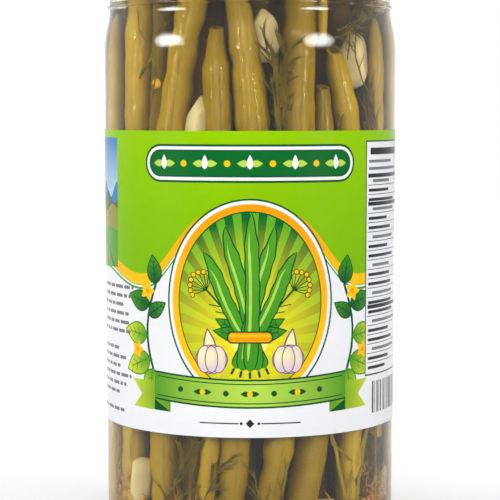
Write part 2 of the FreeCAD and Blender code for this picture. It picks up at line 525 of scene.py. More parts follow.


# %% [markdown]
# ## Packing the pods
# Pods stand side by side, so a level cut through the jar is a dish of circles. The
# packing works on twenty such levels at once: circles that overlap push each other
# apart, the wall pushes them in, and neighbouring levels pull a pod smooth. The pods
# next to the glass at the front are listed one by one, as a packer would set them, and
# hold their place; all the others are seeded at random and find theirs.

# %% Pods listed one by one
# feet and top heights, thickness, (height, angle) places, depth behind the glass, tone, kind of top;
# "slim" is a blunt top that narrows over its last 40 mm
front_pods = [
    (10, 154, 8.6, [(20, -65), (150, -63.5)], 0.0, 0.8, "tip"),
    (11, 162, 9.0, [(20, -50), (38, -48.5), (60, -50), (122, -45), (160, -43)], 0.0, 0.75, "blunt"),
    (40, 161, 8.2, [(60, -38), (122, -40), (160, -38.5)], 2.8, 0.5, "blunt"),
    (9, 162, 9.2, [(20, -33), (60, -36), (122, -29.5), (160, -20)], 0.0, 0.52, "blunt"),
    (12, 149.2, 8.5, [(22, -7.3), (38, -5.8), (122, -12.3), (150, -11.6)], 0.3, 0.42, "narrow"),
    (10, 162, 9.3, [(22, 7), (38, 13), (80, 7), (122, 0.8), (140, -2), (160, -5.0)], 0.0, 0.45, "slim"),
    (9, 162, 9.2, [(22, 19), (38, 26), (80, 24), (122, 17), (160, 19)], 0.0, 0.3, "blunt"),
    (11, 143.8, 8.4, [(20, 40), (60, 41), (122, 40.8), (144, 31.5)], 0.0, 0.72, "cut"),
    (48, 133.6, 6.0, [(50, 33), (122, 28.1), (134, 27.7)], 0.6, 0.2, "cut"),
    (36, 153, 7.4, [(40, 56), (122, 55.7), (153, 55.3)], 0.0, 0.6, "tip"),
    (10, 158, 7.2, [(20, 73), (122, 71), (158, 70)], 0.0, 0.75, "tip"),
    (9, 78, 5.4, [(22, -17), (38, -13), (78, -15)], 0.0, 0.6, "cut"),
    (147, 161.5, 2.8, [(147, 27.5), (161, 28.5)], 0.4, 0.75, "blunt"),
    (20, 150, 7.6, [(20, -20), (60, -22), (122, -20.5), (150, -17)], 5.0, 0.35, "blunt"),
]
# garlic cloves against the glass: shown angle, height, width, length, thickness, lean, distance behind
front_cloves = [
    (-19.4, 123.4, 7.0, 16.0, 6.0, 4, 0.4),
    (5.2, 147.4, 7.6, 14.5, 6.0, -8, 1.6),
    (42.6, 141.2, 11.0, 15.4, 7.5, -14, 0.6),
    (-47.5, 22.0, 9.6, 15.5, 7.0, 182, 0.2),
    (24.5, 14.6, 9.5, 15.0, 7.0, 50, 0.4),
    (64.5, 20.0, 5.0, 10.0, 4.0, 4, 1.6),
    (60.0, 156.5, 5.5, 6.0, 4.0, 60, 1.0),
]

# %% Find every pod's place
level_heights = np.linspace(9, 161, 22)
pod_rng = np.random.default_rng(41)
film = 0.35


def hand_set(pod):
    """Start, ends and thickness of a pod that the list above places."""
    bottom, top, thickness, places, depth, tone, ending = pod
    heights, angles = zip(*places)
    angle = np.interp(level_heights, heights, angles)
    behind_wall = film + thickness / 2 + depth
    path = np.array([in_brine(h, a, behind_wall)[:2] for h, a in zip(level_heights, angle)])
    return path, bottom, top, thickness, 0.9, tone, ending


def loose(angle, radius, thickness, lowest_top=159.8):
    """Start, ends and thickness of a pod that finds its own place."""
    drift = pod_rng.uniform(-13, 13)
    bow = pod_rng.uniform(-7, 7)
    share = (level_heights - level_heights[0]) / np.ptp(level_heights)
    angles = np.radians(angle + drift * (share - 0.5) + bow * np.sin(math.pi * share))
    path = np.column_stack((radius * np.sin(angles), -radius * np.cos(angles)))
    bottom = pod_rng.uniform(9, 13)
    top = pod_rng.uniform(lowest_top, 162.0)
    tone = pod_rng.beta(1.8, 2.0)
    ending = "cut" if pod_rng.random() < 0.6 else "tip"
    return path, bottom, top, thickness, 0.0, tone, ending


# %% Set and seed the pods
pods = [hand_set(pod) for pod in front_pods]
rear_count = 14
first_rear_angle, rear_span = 98, 166
outer_count = len(front_pods) + rear_count
for index in range(rear_count):
    jitter = pod_rng.uniform(-0.25, 0.25)
    angle = first_rear_angle + (index + jitter) * rear_span / (rear_count - 1)
    pods.append(loose(angle, 35.0, pod_rng.uniform(6.2, 8.8), 151.0))
for count, radius in ((20, 27.0), (13, 18.5), (8, 10.5), (2, 3.0)):
    for index in range(count):
        pods.append(loose(360 * (index + pod_rng.uniform(-0.2, 0.2)) / count, radius,
                          pod_rng.uniform(6.4, 8.4)))

paths = np.array([pod[0] for pod in pods])
bottoms, tops, thicknesses, holds, tones, endings = (np.array(part) for part in list(zip(*pods))[1:])
tones[len(front_pods):outer_count] = 0.35 + 0.6 * tones[len(front_pods):outer_count]
# Painted shade: pods inside the outer ring get half the tone, as if the ring shaded them.
tones[outer_count:] *= 0.5
radii = np.broadcast_to(thicknesses[:, None] / 2, paths.shape[:2]).copy()
past_end = 4.0      # a pod keeps its room this far above and below itself
reaches = (level_heights >= bottoms[:, None] - past_end) & (level_heights <= tops[:, None] + past_end)
radii[~reaches] = 0
anchors = paths.copy()


# %% Garlic that the pods make way for
def clove_circles():
    """The cloves as circles on the levels that they reach, for the pods to make way for."""
    for angle, height, width, length, depth, lean, behind in front_cloves:
        centre = in_brine(height, angle, film + behind + depth / 2)[:2]
        share = (level_heights - height) / (length / 2)
        yield centre, np.where(abs(share) < 1, width / 2 * 0.75, 0)


cloves_at = list(clove_circles())

# %% Push apart, hold, and smooth
gives_way = (1.05 - holds)[:, None, None]       # a listed pod hardly moves for others
share = gives_way / (gives_way + np.swapaxes(gives_way, 0, 1))
packing_steps = 360
pull_to_place = 0.3
smoothing = 0.35
for step in range(packing_steps):
    gap = paths[:, None] - paths[None]
    distance = np.linalg.norm(gap, axis=-1) + 1e-6
    overlap = np.clip(radii[:, None] + radii[None] - distance, 0, None)
    overlap[(radii[:, None] == 0) | (radii[None] == 0)] = 0
    overlap[np.arange(len(pods)), np.arange(len(pods))] = 0
    paths += 0.5 * np.sum((gap / distance[..., None]) * (overlap * share)[..., None], axis=1)
    for centre, clove_radius in cloves_at:
        away = paths - centre
        clear = np.linalg.norm(away, axis=-1) + 1e-6
        push = np.clip(radii + clove_radius - clear, 0, None) * (radii > 0) * (clove_radius > 0)
        paths += 0.5 * away / clear[..., None] * push[..., None] * gives_way
    paths += (anchors - paths) * (pull_to_place * holds)[:, None, None]
    smooth = paths.copy()
    smooth[:, 1:-1] = (paths[:, :-2] + paths[:, 2:]) / 2
    smooth[:, 0], smooth[:, -1] = 2 * paths[:, 1] - paths[:, 2], 2 * paths[:, -2] - paths[:, -3]
    paths += smoothing * (smooth - paths)
    from_axis = np.linalg.norm(paths, axis=-1) + 1e-6
    room = inner_radius(level_heights) - film - thicknesses[:, None] / 2
    paths *= np.minimum(1, room / from_axis)[..., None]
print("pods packed:", len(pods), "- overlaps left: deepest %.1f mm," % overlap.max(),
      "mean %.2f mm" % overlap[overlap > 0].mean())

# %% [markdown]
# ## Growing the pods
# A pod is a tube along its path, and a rule gives the rest: seeds swell its two flat
# sides, a seam runs along its two edges, skin noise makes it uneven, and a trimmed end is
# hollow. That is work for Geometry Nodes: the input is a mesh of bare edges, one line of
# points for each pod, which carries thickness, roll and tone as attributes.


# %% Geometry node helpers
def geometry_tree(name, inputs):
    tree = bpy.data.node_groups.new(name, "GeometryNodeTree")
    tree.interface.new_socket(name="Geometry", in_out="INPUT", socket_type="NodeSocketGeometry")
    for label, kind, value in inputs:
        made = tree.interface.new_socket(name=label, in_out="INPUT", socket_type=kind)
        if value is not None:
            made.default_value = value
    tree.interface.new_socket(name="Geometry", in_out="OUTPUT", socket_type="NodeSocketGeometry")
    return tree, tree.nodes.new("NodeGroupInput").outputs


def shaped(tree, kind, inputs=None, **settings):
    """First output of a geometry node, which is named without its GeometryNode."""
    return add(tree, "GeometryNode" + kind, inputs, **settings).outputs[0]


# %% Attributes, vectors and random values
def named(tree, name, kind="FLOAT"):
    return add(tree, "GeometryNodeInputNamedAttribute", {"Name": name}, data_type=kind).outputs["Attribute"]


def keep(tree, geometry, name, value, domain="POINT", kind="FLOAT"):
    return add(tree, "GeometryNodeStoreNamedAttribute", {"Geometry": geometry, "Name": name, "Value": value},
               domain=domain, data_type=kind).outputs["Geometry"]


def vectors(tree, operation, first, second=None, scale=None):
    inputs = {0: first, 1: second, "Scale": scale}
    return add(tree, "ShaderNodeVectorMath", inputs, operation=operation).outputs["Vector"]


def above(tree, first, second):
    return add(tree, "FunctionNodeCompare", {0: first, 1: second}, operation="GREATER_THAN").outputs[0]


def random_value(tree, low, high, seed, kind="FLOAT"):
    node = add(tree, "FunctionNodeRandomValue", data_type=kind)
    sockets = [socket for socket in node.inputs if socket.enabled]
    sockets[0].default_value, sockets[1].default_value = low, high
    tree.links.new(seed, node.inputs["Seed"])
    return next(socket for socket in node.outputs if socket.enabled)


# %% From bare lines to a finished mesh
def deliver(tree, geometry, material_socket):
    """Realize Instances and Set Material, which every tree here ends in."""
    real = shaped(tree, "RealizeInstances", {"Geometry": geometry})
    dressed = shaped(tree, "SetMaterial", {"Geometry": real, "Material": material_socket})
    output = tree.nodes.new("NodeGroupOutput")
    tree.links.new(dressed, output.inputs["Geometry"])


def line_object(name, lines, attributes):
    """Bare edges: one chain of points per line, with a value per point for each attribute."""
    vertices = np.concatenate(lines)
    name = name + "_lines"
    edges, start = [], 0
    for line in lines:
        edges += [(start + step, start + step + 1) for step in range(len(line) - 1)]
        start += len(line)
    mesh = bpy.data.meshes.new(name)
    mesh.from_pydata((vertices * mm).tolist(), edges, [])
    for key, values in attributes.items():
        mesh.attributes.new(key, "FLOAT", "POINT").data.foreach_set("value", np.concatenate(values))
    bare = bpy.data.objects.new(name, mesh)
    bpy.context.collection.objects.link(bare)
    return bare


def grown(name, bare, tree, settings):
    """Runs a tree on bare edges or points and returns the result as a plain mesh object."""
    modifier = bare.modifiers.new(tree.name, "NODES")
    modifier.node_group = tree
    for item in tree.interface.items_tree:
        if item.in_out == "INPUT" and item.name in settings:
            modifier[item.identifier] = settings[item.name]
    depsgraph = bpy.context.evaluated_depsgraph_get()
    mesh = bpy.data.meshes.new_from_object(bare.evaluated_get(depsgraph), preserve_all_data_layers=True,
                                           depsgraph=depsgraph)
    bpy.data.objects.remove(bare)
    mesh.name = name
    piece = bpy.data.objects.new(name, mesh)
    bpy.context.collection.objects.link(piece)
    return piece


# %% The pod tree: a tube along each line
tree, given = geometry_tree("pods", [
    ("Ring Spacing", "NodeSocketFloat", 0.0014), ("Sides", "NodeSocketInt", 24),
    ("Seed Swell", "NodeSocketFloat", 0.08), ("Seam Depth", "NodeSocketFloat", 0.03),
    ("Rib Height", "NodeSocketFloat", 0.12), ("Skin Unevenness", "NodeSocketFloat", 0.07),
    ("Hollow Depth", "NodeSocketFloat", 0.0026),
    ("Material", "NodeSocketMaterial", None)])
curves = shaped(tree, "MeshToCurve", {"Mesh": given["Geometry"]})
curves = shaped(tree, "CurveSplineType", {"Curve": curves}, spline_type="CATMULL_ROM")
curves = shaped(tree, "ResampleCurve", {"Curve": curves, "Length": given["Ring Spacing"]}, mode="LENGTH")
curves = keep(tree, curves, "along", add(tree, "GeometryNodeSplineParameter").outputs["Length"])
position = shaped(tree, "InputPosition")
curves = keep(tree, curves, "centre", position, kind="FLOAT_VECTOR")
curves = shaped(tree, "SetCurveRadius", {"Curve": curves, "Radius": named(tree, "thick")})
section = shaped(tree, "CurvePrimitiveCircle", {"Resolution": given["Sides"], "Radius": 1.0})
tubes = shaped(tree, "CurveToMesh", {"Curve": curves, "Profile Curve": section,
               "Scale": named(tree, "thick"), "Fill Caps": True})

# %% The pod tree: place along and round the pod
along = named(tree, "along")
thick = named(tree, "thick")
tone = named(tree, "tone")
from_centre = vectors(tree, "SUBTRACT", position, named(tree, "centre", "FLOAT_VECTOR"))
way_out = add(tree, "ShaderNodeSeparateXYZ", {0: from_centre}).outputs
turn = plus(tree, maths(tree, "ARCTAN2", way_out["Y"], way_out["X"]), named(tree, "roll"))
tubes = keep(tree, tubes, "side", maths(tree, "SINE", turn))
flat_side = maths(tree, "ABSOLUTE", maths(tree, "SINE", turn))
pod_place = plus(tree, times(tree, along, 90.0), times(tree, tone, 50.0))
seed_pitch = plus(tree, 0.0088, times(tree, tone, 0.003))     # a seed every 8.8 to 11.8 mm
seed_wave = maths(tree, "SINE", plus(tree, times(tree, tone, 40.0),
                  maths(tree, "DIVIDE", times(tree, along, 2 * math.pi), seed_pitch)))

# %% The pod tree: seeds, seam, ribs and skin
plump = add(tree, "ShaderNodeTexNoise", {"W": pod_place, "Scale": 1.0, "Detail": 0.0},
            noise_dimensions="1D").outputs[0]
plump = spread(tree, plump, 0.35, 0.7, 0.1, 1.3)
swell = times(tree, seed_wave, flat_side, given["Seed Swell"], plump)
oval = times(tree, maths(tree, "COSINE", times(tree, turn, 2.0)), 0.06)
seam = maths(tree, "POWER", maths(tree, "ABSOLUTE", maths(tree, "COSINE", turn)), 26.0)
seam = times(tree, seam, given["Seam Depth"])
rib_width = 1.1
rib_place = add(tree, "ShaderNodeCombineXYZ", {
    "X": times(tree, maths(tree, "COSINE", turn), rib_width),
    "Y": times(tree, maths(tree, "SINE", turn), rib_width),
    "Z": times(tree, pod_place, 0.35)}).outputs[0]
ribs = noise(tree, rib_place, 1.0, 1.5)
ribs = times(tree, minus(tree, ribs, 0.5), given["Rib Height"])
skin = noise(tree, position, 260.0, 2.0)
skin = times(tree, minus(tree, skin, 0.5), given["Skin Unevenness"])
rise = plus(tree, plus(tree, swell, oval), plus(tree, ribs, skin))
rise = minus(tree, rise, seam)
normal = shaped(tree, "InputNormal")
offset = vectors(tree, "SCALE", normal, scale=times(tree, rise, thick))

# %% The pod tree: slanted, hollow ends
from_axis = vectors(tree, "NORMALIZE", vectors(tree, "MULTIPLY", position, (1, 1, 0)))
outward = add(tree, "ShaderNodeVectorMath", {0: from_axis, 1: normal},
              operation="DOT_PRODUCT").outputs["Value"]
slope = times(tree, outward, thick, named(tree, "slant"))
slanted = add(tree, "ShaderNodeCombineXYZ", {"Z": times(tree, slope, -1.0)}).outputs[0]
corners = add(tree, "GeometryNodeInputMeshFaceNeighbors").outputs["Vertex Count"]
cap = add(tree, "FunctionNodeCompare", {2: corners, 3: 6}, data_type="INT",
          operation="GREATER_THAN").outputs[0]
thinnest_cut = 0.0012       # half a pod's thickness, in metres, below which an end is a tip
wide = above(tree, thick, thinnest_cut)
cut_end = add(tree, "FunctionNodeBooleanMath", {0: cap, 1: wide}, operation="AND").outputs[0]
tubes = keep(tree, tubes, "cap", cut_end, domain="FACE", kind="BOOLEAN")
offset = vectors(tree, "ADD", offset, slanted)
tubes = shaped(tree, "SetPosition", {"Geometry": tubes, "Offset": offset})
rim = add(tree, "GeometryNodeExtrudeMesh", {"Mesh": tubes, "Selection": named(tree, "cap", "BOOLEAN"),
          "Offset Scale": 0.0, "Individual": False})
ring = add(tree, "GeometryNodeScaleElements", {"Geometry": rim.outputs["Mesh"],
           "Selection": rim.outputs["Top"], "Scale": 0.6})
well = add(tree, "GeometryNodeExtrudeMesh", {"Mesh": ring.outputs[0], "Selection": rim.outputs["Top"],
           "Offset Scale": times(tree, given["Hollow Depth"], -1.0), "Individual": False})
well_foot = add(tree, "GeometryNodeScaleElements", {"Geometry": well.outputs["Mesh"],
                "Selection": well.outputs["Top"], "Scale": 0.6})
smooth_pods = shaped(tree, "SetShadeSmooth", {"Geometry": well_foot.outputs[0]})
deliver(tree, smooth_pods, given["Material"])
pod_tree = tree
print("pod tree:", len(tree.nodes), "nodes")


# %% [markdown]
# ## Pod skin
# Pickling turns bright green pods a yellow olive. The tone differs from pod to pod, along
# a pod and in small blotches, the seam is a darker thread, and the skin has pale
# speckles. The skin is also painted darker and browner the deeper it lies behind the glass,
# and pods inside the outer ring get half their tone: painted shade for close neighbours
# and the brine. Brine takes most of the skin's shine, so what is left is a thin clear coat with
# bumps of its own, which catches small broken glints and fades with depth in the brine.


# %% Pod skin
def make_pod_material():
    material, tree, output = new_material("pickled pod skin")
    where = object_place(tree)
    read = {name: add(tree, "ShaderNodeAttribute", attribute_name=name).outputs["Fac"]
            for name in ("tone", "side")}
    stretched = add(tree, "ShaderNodeMapping", {"Vector": where, "Scale": (1, 1, 0.22)}).outputs[0]
    streaks = mottled(tree, stretched, 0.0035, 1.5)
    blotches = mottled(tree, where, 0.011, 1.6)
    skin = mixed(tree, read["tone"], colour(94, 71, 0), colour(172, 139, 0))
    skin = mixed(tree, times(tree, streaks, 0.3), skin, colour(100, 80, 0))
    skin = mixed(tree, times(tree, blotches, read["tone"], 0.4), skin, colour(182, 153, 0))
    seam_mask = spread(tree, maths(tree, "ABSOLUTE", read["side"]), 0.08, 0.02)
    stitches = noise(tree, where, 700.0, 1.0)
    seam_mask = times(tree, seam_mask, spread(tree, stitches, 0.4, 0.6, 0.05, 0.6))
    skin = mixed(tree, seam_mask, skin, colour(84, 62, 0))
    dots = add(tree, "ShaderNodeTexVoronoi", {"Vector": where, "Scale": 900.0}).outputs["Distance"]
    speckle = spread(tree, dots, 0.22, 0.08)
    patchy = spread(tree, blotches, 0.5, 0.75)
    skin = mixed(tree, times(tree, speckle, patchy, 0.25), skin, colour(200, 172, 12))
    # Painted shade: the skin darkens to a deep brown the deeper it lies behind the glass.
    deep = group_node(tree, brine_depth, {"Vector": where})
    skin = mixed(tree, times(tree, deep, 0.88), skin, colour(62, 42, 0))
    half_stretched = add(tree, "ShaderNodeMapping", {"Vector": where, "Scale": (1, 1, 0.5)}).outputs[0]
    normal = grained(tree, half_stretched, 0.0012, 0.0002, 0.8)
    beads = noise(tree, where, 600.0, 1.0)
    beaded = add(tree, "ShaderNodeBump", {"Height": beads, "Distance": 0.00022}).outputs[0]
    facing = add(tree, "ShaderNodeLayerWeight").outputs["Facing"]
    wet_spots = times(tree, spread(tree, facing, 0.45, 0.25, 0.0, 0.55), minus(tree, 1.0, deep))
    principled(tree, output, {"Base Color": skin, "Roughness": 0.5, "Specular IOR Level": 0.0,
                              "Coat Weight": wet_spots, "Coat Roughness": 0.03, "Coat Normal": beaded,
                              "Normal": normal})
    return material


pod_material = make_pod_material()


# %% Grow the pods
# width of the top as a share of the pod's, and the length over which it narrows to it
top_shapes = {"cut": (0.62, 17), "narrow": (0.45, 18), "tip": (0.9, 17), "blunt": (0.93, 17),
              "slim": (0.62, 42)}
# where the seam of each listed pod lies, in degrees to the right of its front
front_seams = (75, 35, 60, -15, 10, 17, 50, 24, 10, 30, 60, 0, 0, 60)
seam_rolls = np.concatenate((math.pi / 2 - np.radians(front_seams),
                             pod_rng.uniform(0, 2 * math.pi, len(pods) - len(front_seams))))


# %% One pod as a line
def pod_line(index):
    """Centre line of a pod, with thickness and slant at each point; a top is cut or drawn to a tip."""
    length = tops[index] - bottoms[index]
    from_end = np.array((0, 0.6, 1.6, 3.2, 6, 10, 14)) * min(1, length / 30)
    inner = np.linspace(from_end[-1], length - from_end[-1], 16)[1:-1]
    distance = np.concatenate((from_end, inner, length - from_end[::-1]))
    heights = bottoms[index] + distance
    centres = np.column_stack([np.interp(heights, level_heights, paths[index, :, axis]) for axis in (0, 1)])
    to_end = np.minimum(distance, length - distance)
    cut = (endings[index] != "tip") | (distance < length / 2)
    least, shoulder = top_shapes[endings[index]]
    narrowed = least + (1 - least) * np.sin(np.clip(to_end / shoulder, 0, 1) * math.pi / 2)
    tip = 0.12 + 0.88 * np.clip(to_end / 15, 0, 1) ** 0.5
    body = 1 + 0.05 * np.sin(distance / 11 + index * 1.7)
    thick = thicknesses[index] / 2 * body * np.where(cut, narrowed, tip) * mm
    slant = np.clip(1 - to_end / 5, 0, 1) * np.where(cut, pod_rng.uniform(0.5, 0.9), 0)
    return np.column_stack((centres, heights)), thick, slant


# %% All the pods, in two pieces
def grow_pods(name, indices, spacing, sides):
    lines, thick_values, slants = zip(*(pod_line(index) for index in indices))
    rolls = [np.full(len(line), seam_rolls[index]) for line, index in zip(lines, indices)]
    tone_values = [np.full(len(line), tones[index]) for line, index in zip(lines, indices)]
    bare = line_object(name, lines, {"thick": thick_values, "slant": slants, "roll": rolls,
                                     "tone": tone_values})
    piece = grown(name, bare, pod_tree, {"Ring Spacing": spacing * mm, "Sides": sides,
                                         "Material": pod_material})
    return finish_piece(piece, "pickled_beans")


grow_pods("beans_by_the_glass", range(outer_count), 1.5, 24)
grow_pods("beans_inside", range(outer_count, len(pods)), 3.5, 14)


# %% [markdown]
# ## Garlic
# A peeled clove is a wedge: two flat faces where it met its neighbours, a round back, a
# blunt root end and a pointed tip. A solid with flats is easy to describe as a set of
# planes that cut a lump. Adding the planes' distances as a high power, instead of taking
# the nearest, leaves the edges between the flats softly rounded.


# %% Garlic flesh
def make_garlic_material():
    material, tree, output = new_material("pickled garlic")
    where = object_place(tree)
    patches = mottled(tree, where, 0.007)
    flesh = mixed(tree, patches, colour(202, 190, 164), colour(190, 172, 134))
    # Painted shade: the flesh darkens to brown the deeper it lies behind the glass.
    deep = group_node(tree, brine_depth, {"Vector": where, "Reach": 0.005})
    flesh = mixed(tree, times(tree, deep, 0.8), flesh, colour(96, 70, 24))
    normal = grained(tree, where, 0.003, 0.0002, 0.5)
    principled(tree, output, {"Base Color": flesh, "Roughness": 0.3, "Specular IOR Level": 0.1,
                              "Normal": normal, "Subsurface Weight": 0.2,
                              "Subsurface Radius": (0.003, 0.002, 0.001), "Subsurface Scale": 1.0})
    return material


# %% Clove shape
def clove_planes(generator):
    """Planes round a clove of unit size: direction and distance, with its inner ridge towards -Y."""
    ridge = generator.uniform(38, 52)
    planes = [(-ridge, 0, 0.62), (ridge, 0, 0.62), (100, 0, 0.92), (-100, 0, 0.92)]
    planes += [(145, 0, 0.95), (-145, 0, 0.95), (180, 0, 0.9)]
    planes += [(-70, 52, 0.78), (20, 48, generator.uniform(0.72, 0.84)), (120, 50, 0.8), (-150, 50, 0.8)]
    planes += [(-40, -50, 0.86), (60, -55, 0.84), (160, -55, 0.84), (0, -90, 0.9)]
    for turn, rise, distance in planes:
        turn, rise = math.radians(turn + generator.uniform(-6, 6)), math.radians(rise)
        yield (math.sin(turn) * math.cos(rise), -math.cos(turn) * math.cos(rise), math.sin(rise)), distance


def clove_mesh(width, length, depth, seed, rings=28, sides=40, sharpness=22):
    """Vertices and faces of one clove, centred, its length along Z."""
    normals, distances = (np.array(part) for part in zip(*clove_planes(np.random.default_rng(seed))))
    vertices = []
    for ring in range(1, rings):
        rise = math.pi * (ring / rings - 0.5)
        for side in range(sides):
            turn = 2 * math.pi * side / sides
            way = np.array((math.cos(rise) * math.sin(turn), -math.cos(rise) * math.cos(turn),
                            math.sin(rise)))
            nearness = np.clip(normals @ way, 0, None) / distances
            vertices.append(way / np.sum(nearness ** sharpness) ** (1 / sharpness))
    for way in (np.array((0.0, 0.0, -1.0)), np.array((0.0, 0.0, 1.0))):
        nearness = np.clip(normals @ way, 0, None) / distances
        vertices.append(way / np.sum(nearness ** sharpness) ** (1 / sharpness))
    vertices = np.array(vertices)
    low, high = vertices.min(axis=0), vertices.max(axis=0)
    vertices = (vertices - (low + high) / 2) / (high - low) * (width, depth, length)
    vertices[:, 0] += 0.05 * width * np.sin(vertices[:, 2] / length * math.pi)
    count = (rings - 1) * sides
    faces = []
    for side in range(sides):
        beside = (side + 1) % sides
        faces.append((count, beside, side))
        faces.append((count + 1, count - sides + side, count - sides + beside))
        for ring in range(rings - 2):
            low_row, high_row = ring * sides, (ring + 1) * sides
            faces.append((low_row + side, low_row + beside, high_row + beside, high_row + side))
    return vertices, faces


# %% Turn a clove
def turn_about(axis, degrees):
    """Rotation matrix about X, Y or Z."""
    angle = math.radians(degrees)
    cosine, sine = math.cos(angle), math.sin(angle)
    first, second = {"x": (1, 2), "y": (2, 0), "z": (0, 1)}[axis]
    matrix = np.eye(3)
    matrix[first, first] = matrix[second, second] = cosine
    matrix[second, first], matrix[first, second] = sine, -sine
    return matrix


# %% Set the cloves against the glass
clove_vertices, clove_faces = [], []
for index, (angle, height, width, length, depth, lean, behind) in enumerate(front_cloves):
    vertices, faces = clove_mesh(width, length, depth, index + 3)
    behind_wall = film + behind + depth / 2
    turned_to = sunk(angle, inner_radius(height) - behind_wall)
    vertices = vertices @ (turn_about("z", turned_to) @ turn_about("y", lean)).T
    vertices += in_brine(height, angle, behind_wall)
    start = sum(len(part) for part in clove_vertices)
    clove_vertices.append(vertices)
    clove_faces += [tuple(start + corner for corner in face) for face in faces]
garlic = make_piece("garlic_cloves", np.concatenate(clove_vertices), clove_faces, make_garlic_material())
point_outwards(garlic)
finish_piece(garlic, "garlic")

# %% [markdown]
# ## Dill
# Fine dill floats between the pods and the glass and is pressed flat there. A sprig is a
# main stem with side stems, and each stem carries hair-thin leaves. Geometry Nodes set
# the leaves along the stems; then one pass over the vertices presses the sprig into the
# film of brine in front of the pods.

# %% The dill tree: stems and one leaf
tree, given = geometry_tree("dill sprigs", [
    ("Leaf Spacing", "NodeSocketFloat", 0.0018), ("Leaf Length", "NodeSocketFloat", 0.0036),
    ("Leaf Width", "NodeSocketFloat", 0.00028), ("Splay", "NodeSocketFloat", 0.38),
    ("Seed", "NodeSocketInt", 3), ("Material", "NodeSocketMaterial", None)])
stems = shaped(tree, "MeshToCurve", {"Mesh": given["Geometry"]})
stems = shaped(tree, "CurveSplineType", {"Curve": stems}, spline_type="CATMULL_ROM")
stems = shaped(tree, "ResampleCurve", {"Curve": stems, "Length": given["Leaf Spacing"]}, mode="LENGTH")
stems = shaped(tree, "SetCurveRadius", {"Curve": stems, "Radius": named(tree, "thick")})
stem_section = shaped(tree, "CurvePrimitiveCircle", {"Resolution": 6, "Radius": 1.0})
stem_mesh = shaped(tree, "CurveToMesh", {"Curve": stems, "Profile Curve": stem_section,
                   "Scale": named(tree, "thick"), "Fill Caps": True})
tangent = shaped(tree, "InputTangent")
stems_with_tangent = keep(tree, stems, "heading", tangent, kind="FLOAT_VECTOR")
spots = shaped(tree, "CurveToPoints", {"Curve": stems_with_tangent}, mode="EVALUATED")
spots = shaped(tree, "DuplicateElements", {"Geometry": spots, "Amount": 2}, domain="POINT")
needle_line = shaped(tree, "CurvePrimitiveLine", {"Start": (0, 0, 0), "End": (0, 0, 1)})
needle_line = shaped(tree, "ResampleCurve", {"Curve": needle_line, "Count": 4})
needle_share = add(tree, "GeometryNodeSplineParameter").outputs["Factor"]
needle_bend = times(tree, maths(tree, "POWER", needle_share, 2.0), 0.25)
bend_vector = add(tree, "ShaderNodeCombineXYZ", {"X": needle_bend}).outputs[0]
needle_line = shaped(tree, "SetPosition", {"Geometry": needle_line, "Offset": bend_vector})
needle_thick = maths(tree, "DIVIDE", given["Leaf Width"], given["Leaf Length"])
taper = minus(tree, 1.1, times(tree, needle_share, 0.8))
needle_radius = times(tree, needle_thick, taper)
needle_line = shaped(tree, "SetCurveRadius", {"Curve": needle_line, "Radius": needle_radius})
needle_section = shaped(tree, "CurvePrimitiveCircle", {"Resolution": 3, "Radius": 1.0})
needle = shaped(tree, "CurveToMesh", {"Curve": needle_line, "Profile Curve": needle_section,
                "Scale": needle_radius, "Fill Caps": True})

# %% The dill tree: leaves along the stems
jitter = random_value(tree, (-1, -1, -1), (1, 1, 1), given["Seed"], "FLOAT_VECTOR")
direction = vectors(tree, "ADD", named(tree, "heading", "FLOAT_VECTOR"),
                    vectors(tree, "SCALE", jitter, scale=given["Splay"]))
facing = add(tree, "FunctionNodeAlignRotationToVector", {"Vector": direction}, axis="Z").outputs[0]
length_share = random_value(tree, 0.35, 1.0, plus(tree, given["Seed"], 7.0))
leaf_size = times(tree, length_share, given["Leaf Length"], named(tree, "leafy"))
has_leaves = above(tree, named(tree, "leafy"), 0.05)
leaves = shaped(tree, "InstanceOnPoints", {"Points": spots, "Selection": has_leaves,
                "Instance": needle, "Rotation": facing, "Scale": leaf_size})
together = add(tree, "GeometryNodeJoinGeometry")
tree.links.new(stem_mesh, together.inputs[0])
tree.links.new(leaves, together.inputs[0])
smooth_dill = shaped(tree, "SetShadeSmooth", {"Geometry": together.outputs[0]})
deliver(tree, smooth_dill, given["Material"])
dill_tree = tree
print("dill tree:", len(tree.nodes), "nodes")
